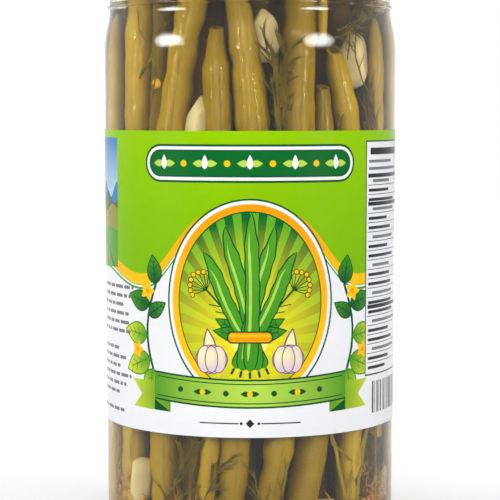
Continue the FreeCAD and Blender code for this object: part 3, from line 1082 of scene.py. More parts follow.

# %% Sprigs, listed one by one
# (height, shown angle) points of the main stem, stem thickness, side stems, leaf size
sprigs = [
    ([(155, -48), (149, -46.5), (146.5, -43)], 0.4, 1, 0.3),
    ([(144, -37), (140, -41.5), (136, -46)], 0.9, 2, 0.5),
    ([(151, -33), (147, -37), (138, -38.5)], 0.7, 3, 0.6),
    ([(143, -38), (137, -37.5), (131, -39)], 0.5, 4, 0.6),
    ([(144, 8), (138, 9.5), (128, 10.5), (118, 11)], 1.0, 9, 1.0),
    ([(146, 12), (138, 13.5), (128, 12.5), (117, 13)], 0.9, 9, 1.0),
    ([(141, 9.5), (134, 11), (127, 15)], 0.7, 6, 0.9),
    ([(136, 7.5), (130, 9), (120, 10)], 0.6, 5, 0.9),
    ([(142, 13.5), (134, 12), (126, 9.5)], 0.6, 5, 0.9),
    ([(150.4, 5.2), (146, 5.6), (141.5, 7)], 0.6, 3, 0.5),
    ([(157, 57), (154, 52), (150, 45), (148, 38), (147, 33)], 0.8, 12, 1.1),
    ([(157, 54), (152, 47), (150, 40), (149, 34)], 0.7, 10, 1.0),
    ([(156, 50), (149.5, 43.5), (143, 42.5), (137, 45.5), (131, 52), (122, 57.5)], 0.6, 4, 0.5),
    ([(152, 41), (147, 40), (141, 39)], 0.5, 2, 0.4),
    ([(133, 50), (128, 53), (119, 57)], 0.6, 12, 1.0),
    ([(129, 48), (124, 51), (116, 53)], 0.6, 10, 1.0),
    ([(126, 35), (121, 34.5), (114, 34)], 0.5, 4, 0.7),
    ([(37, -21.5), (31, -25), (26, -28.5), (18, -33)], 0.9, 12, 1.0),
    ([(36, -27), (30, -26), (22, -25)], 0.6, 9, 1.0),
    ([(35, -19), (28, -22), (18, -24)], 0.6, 9, 1.0),
    ([(30, -11), (26, -13.5), (21, -17), (14, -21)], 0.6, 10, 1.0),
    ([(24, -31), (19, -28), (13, -25)], 0.6, 8, 1.0),
    ([(36, -64), (28, -66), (20, -64)], 0.5, 6, 0.8),
    ([(28, 1.5), (22, 3.5), (14, 3)], 0.5, 6, 0.9),
    ([(30, 13.5), (25, 12), (16, 11)], 0.5, 5, 0.8),
    ([(36, 58), (28, 58), (19, 60)], 0.6, 6, 0.9),
    ([(26, 44), (21, 46), (14, 45)], 0.6, 8, 1.0),
    ([(27, 54), (22, 50), (15, 52)], 0.6, 9, 1.0),
    ([(38, 32), (35, 33.5), (28, 36), (20, 38.5)], 1.4, 0, 0.0),
    ([(39, 52), (33, 47.5), (27.7, 43), (19, 39.5)], 1.4, 0, 0.0),
    ([(38, 51), (33, 49), (26, 47), (18, 45)], 1.6, 0, 0.0),
    ([(35.5, 32), (32.5, 37), (29.6, 42.6)], 0.7, 0, 0.0),
    ([(39, 58), (30, 57), (22.7, 58), (16, 57)], 0.8, 0, 0.0),
    ([(38, 56), (33, 58.5), (30, 61)], 0.5, 3, 0.4),
    ([(38, -51), (34, -52.5), (29, -53)], 0.5, 0, 0.0),
    ([(150, 110), (130, 118), (112, 112)], 0.7, 10, 1.1),
    ([(140, -120), (128, -112), (118, -118)], 0.7, 9, 1.1),
    ([(150, 170), (138, 176), (124, 172)], 0.7, 9, 1.1),
    ([(36, 150), (26, 142), (18, 148)], 0.6, 8, 1.0),
    ([(34, -140), (24, -132), (16, -138)], 0.6, 8, 1.0),
]

# %% Lines of one sprig
dill_rng = np.random.default_rng(12)
mm_per_degree = 0.68    # round the inner wall


def against_wall(height, angle, behind_wall):
    """Place just behind the wall; an angle counts as shown on the front, and as real elsewhere."""
    if abs(angle) < 75:
        return in_brine(height, angle, behind_wall)
    return place(inner_radius(height) - behind_wall, angle, height)


def sprig_lines(main, thickness, branches, leaf_size):
    """Main stem and side stems of one sprig, flat on a wall unrolled to angle and height."""
    heights, angles = (np.array(part, dtype=float) for part in zip(*main))
    share = np.linspace(0, 1, 12)
    knots = np.linspace(0, 1, len(main))
    stem = np.column_stack((np.interp(share, knots, angles), np.interp(share, knots, heights)))
    stem[1:-1] = (stem[:-2] + 2 * stem[1:-1] + stem[2:]) / 4 + dill_rng.normal(0, 0.18, stem[1:-1].shape)
    flat = [(stem[::-1], thickness, 0.45 if branches else 0.0)]
    for _ in range(branches):
        at = dill_rng.uniform(0.05, 1.0)
        foot = np.array([np.interp(at, share, stem[:, axis]) for axis in (0, 1)])
        step = np.array([np.interp(min(1, at + 0.05), share, stem[:, axis]) for axis in (0, 1)]) - foot
        along_stem = math.atan2(-step[1], -step[0] * mm_per_degree) if at < 0.98 else math.pi / 2
        side = dill_rng.choice((-1, 1))
        heading = along_stem + side * math.radians(dill_rng.uniform(10, 34))
        length = dill_rng.uniform(2.5, 5.5) * leaf_size
        steps = np.linspace(0, 1, 5)[:, None]
        curl = dill_rng.uniform(-0.35, 0.35)
        bent = heading + curl * steps[:, 0]
        way = np.column_stack((np.cos(bent) / mm_per_degree, np.sin(bent)))
        flat.append((foot + way * steps * length, thickness * 0.6, leaf_size))
    for line, thick, leafy in flat:
        lowest, highest = floor_z + 2, fill_z - 1
        yield (np.array([against_wall(np.clip(h, lowest, highest), a, film) for a, h in line]),
               np.full(len(line), thick / 2 * mm), np.full(len(line), leafy))


# %% Press it to the glass
def press_to_glass(piece, flatness, clearance):
    """Draws every vertex towards a thin layer just inside the glass."""
    mesh = piece.data
    points = np.empty(len(mesh.vertices) * 3)
    mesh.vertices.foreach_get("co", points)
    points = points.reshape(-1, 3) / mm
    points[:, 2] = np.clip(points[:, 2], floor_z + 1.5, fill_z - 0.3)
    radius = np.linalg.norm(points[:, :2], axis=1)
    layer = inner_radius(points[:, 2]) - clearance
    wanted = np.minimum(layer + (radius - layer) * flatness, layer + clearance - 0.12)
    points[:, :2] *= (wanted / radius)[:, None]
    mesh.vertices.foreach_set("co", (points * mm).ravel())
    mesh.update()


# %% Dill, grown
def make_dill_material():
    material, tree, output = new_material("pickled dill")
    where = object_place(tree)
    patches = mottled(tree, where, 0.004, 1.6)
    leaf = mixed(tree, patches, colour(34, 28, 0), colour(104, 87, 2))
    leafy = add(tree, "ShaderNodeAttribute", attribute_name="leafy").outputs["Fac"]
    leaf = mixed(tree, spread(tree, leafy, 0.1, 0.0), leaf, colour(120, 102, 4))
    normal = grained(tree, where, 0.0008, 0.0001, 0.5)
    principled(tree, output, {"Base Color": leaf, "Roughness": 0.5, "Specular IOR Level": 0.04,
                              "Normal": normal})
    return material


lines, thick_values, leafy_values = zip(*(part for sprig in sprigs for part in sprig_lines(*sprig)))
bare_dill = line_object("dill_lines", lines, {"thick": thick_values, "leafy": leafy_values})
dill = grown("dill_sprigs", bare_dill, dill_tree, {"Material": make_dill_material()})
press_to_glass(dill, 0.12, 0.35)
finish_piece(dill, "dill")

# %% Brown crumbs of dill that have settled
# middle angle, spread of angle, lowest and highest height, count
crumb_beds = [(57, 13, 13, 27, 95), (-60, 8, 13, 25, 40), (36, 8, 11, 20, 30), (-20, 12, 11, 21, 40),
              (140, 60, 11, 24, 60), (-130, 50, 11, 24, 60)]


# %% Crumb lines
def crumb_lines():
    """Short curled threads, denser towards the foot of each bed."""
    for middle, reach, low, high, count in crumb_beds:
        for _ in range(count):
            angle = middle + dill_rng.normal(0, 0.45) * reach
            height = low + (high - low) * dill_rng.random() ** 1.5
            heading, curl = dill_rng.uniform(0, 2 * math.pi), dill_rng.uniform(-1.6, 1.6)
            length = dill_rng.uniform(1.6, 3.8)
            steps = np.linspace(0, 1, 5)
            spots = np.column_stack((angle + length * steps * np.cos(heading + curl * steps) / mm_per_degree,
                                     height + length * steps * np.sin(heading + curl * steps)))
            yield (np.array([against_wall(np.clip(h, 10, fill_z), a, film) for a, h in spots]),
                   np.full(5, dill_rng.uniform(0.16, 0.34) * mm), np.full(5, 0.35))


def make_crumb_material():
    material, tree, output = new_material("browned dill")
    where = object_place(tree)
    patches = mottled(tree, where, 0.003, 2.0)
    normal = grained(tree, where, 0.0008, 0.0001, 0.5)
    principled(tree, output, {"Base Color": mixed(tree, patches, colour(72, 48, 4), colour(176, 118, 14)),
                              "Roughness": 0.5, "Specular IOR Level": 0.12, "Normal": normal})
    return material


lines, thick_values, leafy_values = zip(*crumb_lines())
bare_crumbs = line_object("dill_crumbs", lines, {"thick": thick_values, "leafy": leafy_values})
crumbs = grown("dill_crumbs", bare_crumbs, dill_tree, {"Leaf Spacing": 0.0012,
                                                       "Material": make_crumb_material()})
press_to_glass(crumbs, 0.3, 0.4)
finish_piece(crumbs, "dill")

# %% [markdown]
# ## Spices
# Seeds and peppercorns sink. Most lie on the floor of the jar between the feet of the
# pods, and a few are caught against the glass. Each kind is one piece: points with a
# size, on which a small lumpy ball is set and made real.

# %% The seed tree
tree, given = geometry_tree("seeds", [
    ("Roundness", "NodeSocketFloat", 0.12), ("Flatten", "NodeSocketVector", (1, 1, 1)),
    ("Smoothness", "NodeSocketInt", 2), ("Seed", "NodeSocketInt", 1),
    ("Material", "NodeSocketMaterial", None)])
ball = shaped(tree, "MeshIcoSphere", {"Radius": 1.0, "Subdivisions": given["Smoothness"]})
lumps = noise(tree, shaped(tree, "InputPosition"), 1.6, 1.0)
lump_height = times(tree, minus(tree, lumps, 0.5), times(tree, given["Roundness"], 4.0))
lump_offset = vectors(tree, "SCALE", shaped(tree, "InputNormal"), scale=lump_height)
ball = shaped(tree, "SetPosition", {"Geometry": ball, "Offset": lump_offset})
ball = shaped(tree, "Transform", {"Geometry": ball, "Scale": given["Flatten"]})
spin = random_value(tree, (0, 0, 0), (6.3, 6.3, 6.3), given["Seed"], "FLOAT_VECTOR")
seeds_set = shaped(tree, "InstanceOnPoints", {"Points": given["Geometry"], "Instance": ball,
                   "Rotation": spin, "Scale": named(tree, "size")})
smooth_seeds = shaped(tree, "SetShadeSmooth", {"Geometry": seeds_set})
deliver(tree, smooth_seeds, given["Material"])
seed_tree = tree
print("seed tree:", len(tree.nodes), "nodes")

# %% Scatter the spices
spice_rng = np.random.default_rng(77)


def make_spice_material(name, first, second, roughness):
    material, tree, output = new_material(name)
    where = object_place(tree)
    patches = mottled(tree, where, 0.0015, 1.6)
    normal = grained(tree, where, 0.0006, 0.0002, 0.6)
    # Painted shade: the seeds darken to near black the deeper they lie in the jar.
    deep = group_node(tree, brine_depth, {"Vector": where, "Reach": 0.02})
    skin = mixed(tree, times(tree, deep, 0.7), mixed(tree, patches, first, second), (0.02, 0.01, 0, 1))
    principled(tree, output, {"Base Color": skin, "Roughness": roughness, "Specular IOR Level": 0.15,
                              "Normal": normal})
    return material


# %% Points for one kind of seed
def scatter(name, count, diameter, by_glass, flatten, lumpiness, material, low, high, spots=()):
    """Seeds of one kind: some against the glass, the rest loose on the floor."""
    points, sizes = [], []
    for angle, height in spots:
        points.append(in_brine(height, angle, film + diameter / 2))
        sizes.append(diameter / 2)
    for index in range(count):
        size = diameter / 2 * spice_rng.uniform(0.8, 1.15)
        height = low + (high - low) * spice_rng.random() ** 2.2
        outside = inner_radius(height) - film - size * max(flatten)
        foot_curve = max(0, floor_z + heel_round - height) ** 2 / (2 * heel_round)
        radius = outside if spice_rng.random() < by_glass else outside * math.sqrt(spice_rng.random())
        radius -= foot_curve
        points.append(place(radius, spice_rng.uniform(0, 360), height + size))
        sizes.append(size)
    bare = line_object(name, [np.array([point]) for point in points],
                       {"size": [np.array([size * mm]) for size in sizes]})
    piece = grown(name, bare, seed_tree, {"Roundness": lumpiness, "Flatten": flatten, "Material": material})
    return finish_piece(piece, "spices")


# %% The kinds
mustard = make_spice_material("mustard seed", colour(196, 140, 48), colour(160, 96, 22), 0.45)
pepper = make_spice_material("peppercorn", colour(58, 44, 26), colour(30, 22, 14), 0.6)
chilli = make_spice_material("chilli flake", colour(176, 64, 18), colour(206, 118, 34), 0.4)
dill_seed = make_spice_material("dill seed", colour(112, 78, 26), colour(70, 50, 16), 0.6)
scatter("mustard_seeds", 120, 2.0, 0.5, (1, 1, 1), 0.05, mustard, 8.5, 19,
        [(-57, 18.5), (-58.5, 22.5), (-63, 26), (55, 20), (60, 19)])
scatter("peppercorns", 14, 4.2, 0.5, (1, 1, 1), 0.1, pepper, 9, 14)
scatter("chilli_flakes", 50, 3.0, 0.6, (1, 0.75, 0.16), 0.25, chilli, 9, 19,
        [(50, 20), (54, 18)])
scatter("dill_seeds", 80, 3.0, 0.6, (1, 0.55, 0.28), 0.12, dill_seed, 9, 20,
        [(53, 21), (58, 24), (46, 20)])
berry = make_spice_material("orange berry", colour(255, 205, 36), colour(250, 168, 14), 0.3)
scatter("orange_berries", 3, 2.9, 1.0, (1, 1, 0.9), 0.04, berry, 30, 60, [(-37.2, 134.6)])

# %% [markdown]
# ## The label
# The label is drawn flat, in millimetres from its middle and its foot, as shapes that lie
# on top of each other. A constrained triangulation cuts the sheet along all the shapes'
# edges at once, so every patch of ink is real faces in one single layer, and upright cuts
# every couple of degrees let it follow the glass. Each corner carries its ink colour. The
# alternative, a picture on the sheet, would be an image file and would blur.

# %% Inks
inks = {
    "paper": colour(243, 244, 247),
    "paper_back": colour(232, 230, 222),
    "lime": colour(148, 205, 0),
    "lime_low": colour(128, 188, 0),
    "lime_light": colour(186, 222, 84),
    "leaf": colour(66, 150, 34),
    "leaf_dark": colour(10, 84, 40),
    "leaf_light": colour(214, 226, 60),
    "rim_green": colour(6, 106, 42),
    "ray_green": colour(96, 176, 40),
    "orange": colour(250, 160, 8),
    "gold": colour(255, 200, 20),
    "sun": colour(255, 236, 40),
    "cream": colour(255, 244, 190),
    "pod": colour(88, 164, 40),
    "pod_light": colour(178, 218, 92),
    "bulb": colour(226, 206, 214),
    "bulb_edge": colour(122, 84, 112),
    "ink": colour(44, 44, 46),
    "grey": colour(122, 122, 126),
    "sky": colour(58, 132, 200),
    "sky_light": colour(200, 224, 238),
    "hill": colour(70, 104, 62),
    "field": colour(150, 150, 66),
    "soil": colour(112, 84, 50),
}
shapes = []     # (points, ink, far ink, fade)
guides = []     # loops that only add corners, so that a fade is smooth


# %% Shape makers
def draw(points, ink, far_ink=None, fade=None):
    """Lays one closed shape on the sheet; fade says how much of the far ink a spot takes."""
    points = np.array(points, dtype=float)
    x, y = points.T
    if np.sum(x * np.roll(y, -1) - np.roll(x, -1) * y) < 0:
        points = points[::-1]
    shapes.append((points, np.array(inks[ink]), np.array(inks[far_ink or ink]), fade))


def outwards(centre, reach, power=1.3):
    return lambda spot: min(1.0, math.dist(spot, centre) / reach) ** power


def downwards(top, low):
    return lambda spot: min(1.0, max(0.0, (top - spot[1]) / (top - low)))


def leaned(points, degrees):
    """Points turned clockwise about their origin."""
    lean = math.radians(degrees)
    return points @ np.array(((math.cos(lean), -math.sin(lean)), (math.sin(lean), math.cos(lean))))


def way(degrees):
    """Unit vector that leans clockwise from straight up."""
    return np.array((math.sin(math.radians(degrees)), math.cos(math.radians(degrees))))


# %% Ovals, bars and strokes
def oval(centre, across, up, steps=48, start=0, end=360):
    angles = np.radians(np.linspace(start, end, steps, endpoint=end - start < 360))
    return np.column_stack((across * np.cos(angles), up * np.sin(angles))) + centre


def bar(centre, width, height, rounding=0.0):
    """Upright rectangle with round ends."""
    if rounding <= 0:
        return np.array(((-1, -1), (1, -1), (1, 1), (-1, 1))) * (width / 2, height / 2) + centre
    rounding = min(rounding, width / 2 - 0.01, height / 2 - 0.01)
    points = []
    for x, y, start in ((1, 1, 0), (-1, 1, 90), (-1, -1, 180), (1, -1, 270)):
        for angle in np.radians(start + np.linspace(0, 90, 6)):
            points.append((x * (width / 2 - rounding) + rounding * math.cos(angle),
                           y * (height / 2 - rounding) + rounding * math.sin(angle)))
    return np.array(points) + centre


def stroke(start, end, width):
    """Straight line with a width."""
    start, end = np.array(start, dtype=float), np.array(end, dtype=float)
    along = (end - start) / math.dist(start, end)
    side = np.array((-along[1], along[0])) * width / 2
    return [start - side, end - side, end + side, start + side]


# %% Leaves, pods and flowers
def leaf(foot, length, width, turn, steps=12):
    """Pointed leaf from its foot, leaning clockwise from straight up."""
    share = np.linspace(0, 1, steps)
    half = width / 2 * np.sin(math.pi * share ** 0.75) ** 0.9
    right = np.column_stack((half, share * length))
    left = np.column_stack((-half[-2:0:-1], share[-2:0:-1] * length))
    return leaned(np.vstack((right, left)), turn) + foot


def pod_shape(foot, length, width, turn, bow, grow=0.0):
    """Slender bean pod with seed swells and a curved beak, drawn from its foot upwards."""
    share = np.linspace(0, 1, 44)
    taper = np.minimum(1, share / 0.06) ** 0.6 * np.minimum(1, (1 - share) / 0.2) ** 0.75
    seeds = 1 + 0.06 * np.cos(share * math.pi * 15)
    half = width / 2 * taper * seeds + grow * np.minimum(1, taper * 2 + 0.2)
    middle = bow * np.sin(math.pi * share) + 0.7 * bow * np.clip((share - 0.85) / 0.15, 0, 1) ** 2
    right = np.column_stack((middle + half, share * length))
    left = np.column_stack((middle - half, share * length))[::-1]
    return leaned(np.vstack((right, left[1:-1])), turn) + foot


def draw_leaf(foot, length, width, turn, ink="leaf", edge="leaf_dark"):
    foot = np.array(foot, dtype=float)
    draw(leaf(foot, length, width, turn), edge)
    blade = leaf(foot + way(turn) * 0.45, length - 1.0, width - 0.8, turn)
    draw(blade, edge, ink, outwards(foot, length * 0.8))
    draw(leaf(foot, length * 0.86, 0.42, turn, 6), edge)
    for share in (0.3, 0.5, 0.7):
        for side in (-1, 1):
            vein = foot + way(turn) * length * share
            draw(stroke(vein, vein + way(turn + side * 48) * width * 0.3, 0.22), edge)


def draw_flower(centre, size, petals=5):
    for petal in range(petals):
        draw(leaf(centre, size, size * 0.62, 360 / petals * petal + 18, 8), "gold")
    draw(oval(centre, size * 0.24, size * 0.24, steps=14), "orange")


# %% Fields and edges of the label
label_radius = body_radius_at((label_low + label_high) / 2) + 0.18
label_height = label_high - label_low
opening = 12.0      # between the label's ends, at the back
half_width = math.pi * label_radius - opening / 2
wave_across = np.linspace(-half_width - 2, half_width + 2, 240)


def field_edge(across):
    """Height of the edge between the lime field and the white one."""
    return 43.0 + 13.0 * np.exp(-(across / 23.0) ** 4) + 2.6 * np.sin(np.abs(across) / 7.0)


def draw_band(low, high, *ink_and_fade):
    draw(np.vstack((np.column_stack((wave_across, low(wave_across))),
                    np.column_stack((wave_across, high(wave_across)))[::-1])), *ink_and_fade)


def draw_fields():
    draw_band(field_edge, lambda across: np.full(len(across), label_height + 2), "lime", "lime_low",
              downwards(label_height, 44.0))
    draw_band(lambda across: field_edge(across) + 0.3, lambda across: field_edge(across) + 3.3, "orange",
              "gold", downwards(62.0, 42.0))
    draw_band(lambda across: field_edge(across) - 1.1, lambda across: field_edge(across) - 0.5, "leaf")


# %% [markdown]
# ## Print in the middle
# The motifs are plain ones for pickled beans: a tied sheaf of pods before an oval of rays,
# with dill and garlic beside it. Each is drawn twice, first a little larger in the dark
# ink and then in its colour, which leaves an even outline, as a printer's plates do.

# %% The emblem in the middle
emblem = np.array((0.0, 37.0))
sunrise = np.array((0.0, 27.0))
tie = np.array((0.0, 27.5))


def draw_emblem():
    for grow, ink in ((3.7, "leaf_dark"), (3.2, "paper")):
        draw(oval(emblem, 20.0 + grow, 24.5 + grow, steps=96), ink)
    draw(oval(emblem, 22.2, 26.7, steps=96), "orange", "gold", downwards(64.0, 30.0))
    draw(oval(emblem, 20.3, 24.8, steps=96), "leaf_dark")
    draw(oval(emblem, 20.0, 24.5, steps=96), "sun", "rim_green", outwards(sunrise, 32.0, 1.1))
    for ray in range(26):
        start = ray * 360 / 26
        arc = oval(emblem, 19.9, 24.4, steps=4, start=start, end=start + 6.9)
        draw(np.vstack((sunrise, arc)), "sun", "ray_green", outwards(sunrise, 32.0, 1.1))
    for reach in range(4, 30, 4):
        guides.append(oval(sunrise + (0, reach * 0.12), reach * 0.8, reach, steps=40))
    draw(oval(sunrise + (0, 1.0), 5.5, 6.0, steps=40), "cream", "sun", outwards(sunrise, 6.5))


# %% Dill umbels and the sheaf of pods
def draw_umbel(turn, length, spread_angle):
    """Head of dill: thin rays from the end of a stem, each with a small yellow knob."""
    head = tie + way(turn) * length
    draw(stroke(tie, head, 0.55), "leaf_dark")
    for ray in np.linspace(-spread_angle, spread_angle, 9):
        reach = 5.6 - 1.2 * abs(ray) / spread_angle
        knob = head + way(turn + ray) * reach
        draw(stroke(head, knob, 0.26), "leaf_dark")
        draw(oval(knob, 0.82, 0.82, steps=12), "leaf_dark")
        draw(oval(knob, 0.58, 0.58, steps=12), "gold")
    for share in (0.35, 0.5, 0.65):
        for side in (-1, 1):
            foot = tie + way(turn) * length * share
            draw(stroke(foot, foot + way(turn + side * 38) * 3.6, 0.3), "leaf_dark")


def draw_sheaf():
    for turn in (-43, 43):
        draw_umbel(turn, 17.5, 66)
    for turn in (-62, 62, -80, 80):
        draw_leaf(tie, 12.5 - abs(turn) / 40, 4.6, turn)
    for turn, length, bow in ((-27, 36, -1.4), (27, 36, 1.4), (-14, 40.5, 1.0), (14, 40.5, -1.0),
                              (0, 43.5, 0.7)):
        foot = tie - way(turn) * 9.5
        draw(pod_shape(foot, length, 3.5, turn, bow, 0.32), "leaf_dark")
        draw(pod_shape(foot, length - 0.3, 3.5, turn, bow, -0.02), "pod", "leaf", downwards(60.0, 22.0))
        draw(pod_shape(foot + leaned(np.array((-0.55, 3.0)), turn), length - 8, 0.75, turn, bow), "pod_light")
        draw(stroke(foot, foot - way(turn) * 1.8, 0.7), "leaf_dark")
    draw(bar(tie, 12.6, 3.4, 1.4), "leaf_dark")
    draw(bar(tie, 11.8, 2.6, 1.2), "orange")
    draw(bar(tie + (0, 0.45), 11.0, 0.7, 0.3), "gold")


# %% Bulbs
def draw_bulb(centre, size, turn):
    """Plain bulb of garlic with its cloves."""
    centre = np.array(centre)
    draw(leaf(centre, size * 1.9, size * 0.8, turn), "bulb_edge")
    draw(leaf(centre, size * 1.75, size * 0.62, turn), "cream")
    for across, half, ink_half in ((0.0, 1.0, 0.94), (-0.42, 0.5, 0.44), (0.42, 0.5, 0.44),
                                   (0.0, 0.42, 0.36)):
        lobe = centre + (across * size, 0)
        draw(oval(lobe, half * size, (0.78 + 0.1 * half) * size, steps=36), "bulb_edge")
        draw(oval(lobe, ink_half * size, (0.72 + 0.1 * half) * size, steps=36), "cream", "bulb",
             outwards(lobe + (-0.2 * size, 0.2 * size), size * 0.8))


# %% Plaque, ribbon and sprays
def draw_plaque():
    centre = np.array((0.0, 74.6))
    for width, height, ink in ((63.0, 10.4, "leaf_dark"), (61.8, 9.2, "paper"), (60.0, 7.4, "leaf_dark"),
                               (59.2, 6.6, "rim_green")):
        draw(bar(centre, width, height, height / 2), ink)
    for index in range(-4, 5):
        spot = centre + (index * 6.2, 0)
        if index % 2:
            draw(oval(spot, 0.9, 0.9, steps=16), "gold")
            continue
        for turn in (-90, 90):
            draw(leaf(spot + way(turn) * 0.4, 3.1, 1.9, turn, 8), "lime_light")
        draw(leaf(spot - (0, 1.6), 4.0, 1.8, 0, 8), "paper")


# %% Ribbon
def draw_ribbon():
    level = 12.8

    def strip(low, high, ink, far_ink=None, fade=None, share=1.0):
        across = np.linspace(-28.5, 28.5, 40) * share
        sag = level - 1.4 * np.cos(across / 28.5 * math.pi / 2)
        draw(np.vstack((np.column_stack((across, low + sag)), np.column_stack((across, high + sag))[::-1])),
             ink, far_ink, fade)

    for side in (-1, 1):
        tail = [(side * 23, level - 6.6), (side * 37, level - 6.2), (side * 33.5, level - 2.4),
                (side * 37.5, level + 1.6), (side * 23, level + 1.2)]
        draw(tail, "leaf", "leaf_light", outwards((side * 22, level - 2), 17.0))
        draw([(side * 23, level - 6.6), (side * 28.5, level - 6.4), (side * 28.5, level - 3.4)], "leaf_dark")
    strip(-3.4, 4.6, "leaf_dark")
    strip(-2.9, 4.1, "lime_light", "leaf", outwards((0, level), 30.0))
    strip(-2.2, -1.9, "leaf_dark", share=0.96)
    strip(3.1, 3.4, "leaf_dark", share=0.96)
    for index in range(-3, 4):
        across = index * 6.6
        lift = level + 0.6 - 1.4 * math.cos(across / 28.5 * math.pi / 2)
        if index % 2:
            draw(oval((across, lift), 0.8, 0.8, steps=14), "leaf_dark")
        else:
            for turn in (-90, 90):
                draw(leaf((across, lift), 2.6, 1.5, turn, 8), "leaf_dark")
            draw(oval((across, lift), 0.8, 0.8, steps=14), "gold")


# %% Sprays and the ornament at the foot
def draw_sprays():
    """A vine with leaves and flowers up each side of the emblem."""
    for side in (-1, 1):
        vine = [np.array((side * (28.0 + 3.2 * math.sin(step / 9 * math.pi)), 15.0 + step * 2.9))
                for step in range(10)]
        for start, end in zip(vine[:-1], vine[1:]):
            draw(stroke(start, end + (end - start) * 0.08, 0.8), "leaf_dark")
        for spot, turn, length, width, light in ((9, 8, 8.5, 5.5, False), (7, 74, 9.5, 6.0, False),
                                                 (6, -58, 7.5, 4.6, False), (4, 82, 10.0, 6.6, True),
                                                 (2, 112, 11.0, 7.2, True), (1, 168, 8.5, 6.0, True)):
            inks_used = ("leaf_light", "leaf") if light else ("leaf", "leaf_dark")
            draw_leaf(vine[spot], length, width, side * turn, *inks_used)
        draw_flower(vine[8] + (side * 2.0, 1.0), 2.9)
        draw_flower(vine[3] + (side * 4.5, -1.0), 2.6)


def draw_ornament():
    """Two thin rules with a diamond between them, on the white foot of the label."""
    for side in (-1, 1):
        draw(bar((side * 8.6, 3.9), 11.0, 0.35), "ink")
        draw(oval((side * 2.4, 3.9), 0.42, 0.42, steps=12), "ink")
    draw([(-1.2, 3.9), (0, 2.7), (1.2, 3.9), (0, 5.1)], "ink")


# %% [markdown]
# ## Print at the sides
# Labels fill their sides with a picture, small print and a ruled table. At arm's length
# small print is grey dashes of uneven length, so dashes are what is drawn.


# %% A small landscape
def draw_landscape(centre, width, height):
    low, high = centre - (width / 2, height / 2), centre + (width / 2, height / 2)
    draw(bar(centre, width, height), "sky", "sky_light", downwards(high[1], low[1] + height * 0.5))
    across = np.linspace(low[0], high[0], 24)
    for base, swing, ink in ((0.6, 0.07, "sky"), (0.54, 0.05, "hill"), (0.46, 0.03, "field"),
                             (0.3, 0.02, "pod")):
        top = low[1] + height * (base + swing * np.sin(across * 0.5 + base * 30))
        draw(np.vstack((np.column_stack((across, top)), ((high[0], low[1]), (low[0], low[1])))), ink)
    for row in range(6):
        foot = low[0] + width * (row + 0.5) / 6
        far = centre[0] + (foot - centre[0]) * 0.35
        draw([(foot - 0.7, low[1]), (foot + 0.7, low[1]), (far + 0.1, low[1] + height * 0.27),
              (far - 0.1, low[1] + height * 0.27)], "soil")


# %% Grey lines, table and stripes
def draw_lines(left, top, width, count, pitch, seed):
    """Ragged grey lines, as a paragraph looks from afar."""
    generator = np.random.default_rng(seed)
    for row in range(count):
        if row % 7 == 6:
            continue
        end = left + width * generator.uniform(0.8, 1.0)
        start = left
        while start < end:
            word = min(generator.uniform(1.4, 5.0), end - start)
            if word > 0.7:
                draw(bar((start + word / 2, top - row * pitch), word, 0.95, 0.3), "grey")
            start += word + 0.7


def draw_table(left, top, width, height):
    """Ruled panel with a thin frame: bars for headings, thin rules for rows."""
    middle = left + width / 2
    draw(bar((middle, top - height / 2), width + 0.8, height + 0.8), "ink")
    draw(bar((middle, top - height / 2), width, height), "paper")
    draw(bar((left + width * 0.3, top - 2.6), width * 0.52, 1.9, 0.3), "ink")
    for row, share in ((5.4, 0.34), (7.4, 0.5)):
        draw(bar((left + 1.0 + width * share / 2, top - row), width * share, 0.8, 0.3), "grey")
    level = top - 9.4
    generator = np.random.default_rng(3)
    for row in range(21):
        heavy = row in (0, 3, 14)
        draw(bar((middle, level), width - 1.4, 1.1 if heavy else 0.2), "ink")
        name = width * generator.uniform(0.24, 0.46)
        inset = 1.0 if row % 3 else 3.0
        draw(bar((left + inset + name / 2, level - 1.45), name, 0.85, 0.3), "grey" if row % 3 == 0 else "ink")
        level -= 2.62


def draw_stripes(left, low, width, height):
    generator = np.random.default_rng(8)
    across = left
    while across < left + width:
        thick = generator.choice((0.35, 0.35, 0.7, 1.0))
        draw(bar((across + thick / 2, low + height / 2), thick, height), "ink")
        across += thick + generator.choice((0.4, 0.6, 0.9))


# %% Draw the whole sheet
draw_fields()
draw_emblem()
draw_sheaf()
draw_bulb((-10.6, 21.4), 4.6, -8)
draw_bulb((10.6, 21.4), 4.6, 8)
draw_sprays()
draw_ribbon()
draw_plaque()
draw_ornament()
draw_landscape(np.array((-62.2, 63.0)), 33.0, 36.5)
draw_lines(-84.0, 39.5, 47.5, 15, 2.5, 4)
draw_table(36.9, 80.2, 43.0, 65.0)
draw_stripes(40.2, 4.0, 32.0, 9.0)
draw_bulb((-105.0, 64.0), 7.0, 0)
draw_lines(-118.0, 36.0, 26.0, 12, 2.6, 9)
draw_bulb((104.0, 64.0), 7.0, 0)
draw_lines(88.0, 36.0, 32.0, 12, 2.6, 15)
print("shapes on the label:", len(shapes))


# %% [markdown]
# ## From shapes to paper
# The flat sheet is cut first. Then a distance across becomes an angle round the glass, and
# a back and a cut edge make it a closed sheet of paper with crisp edges.


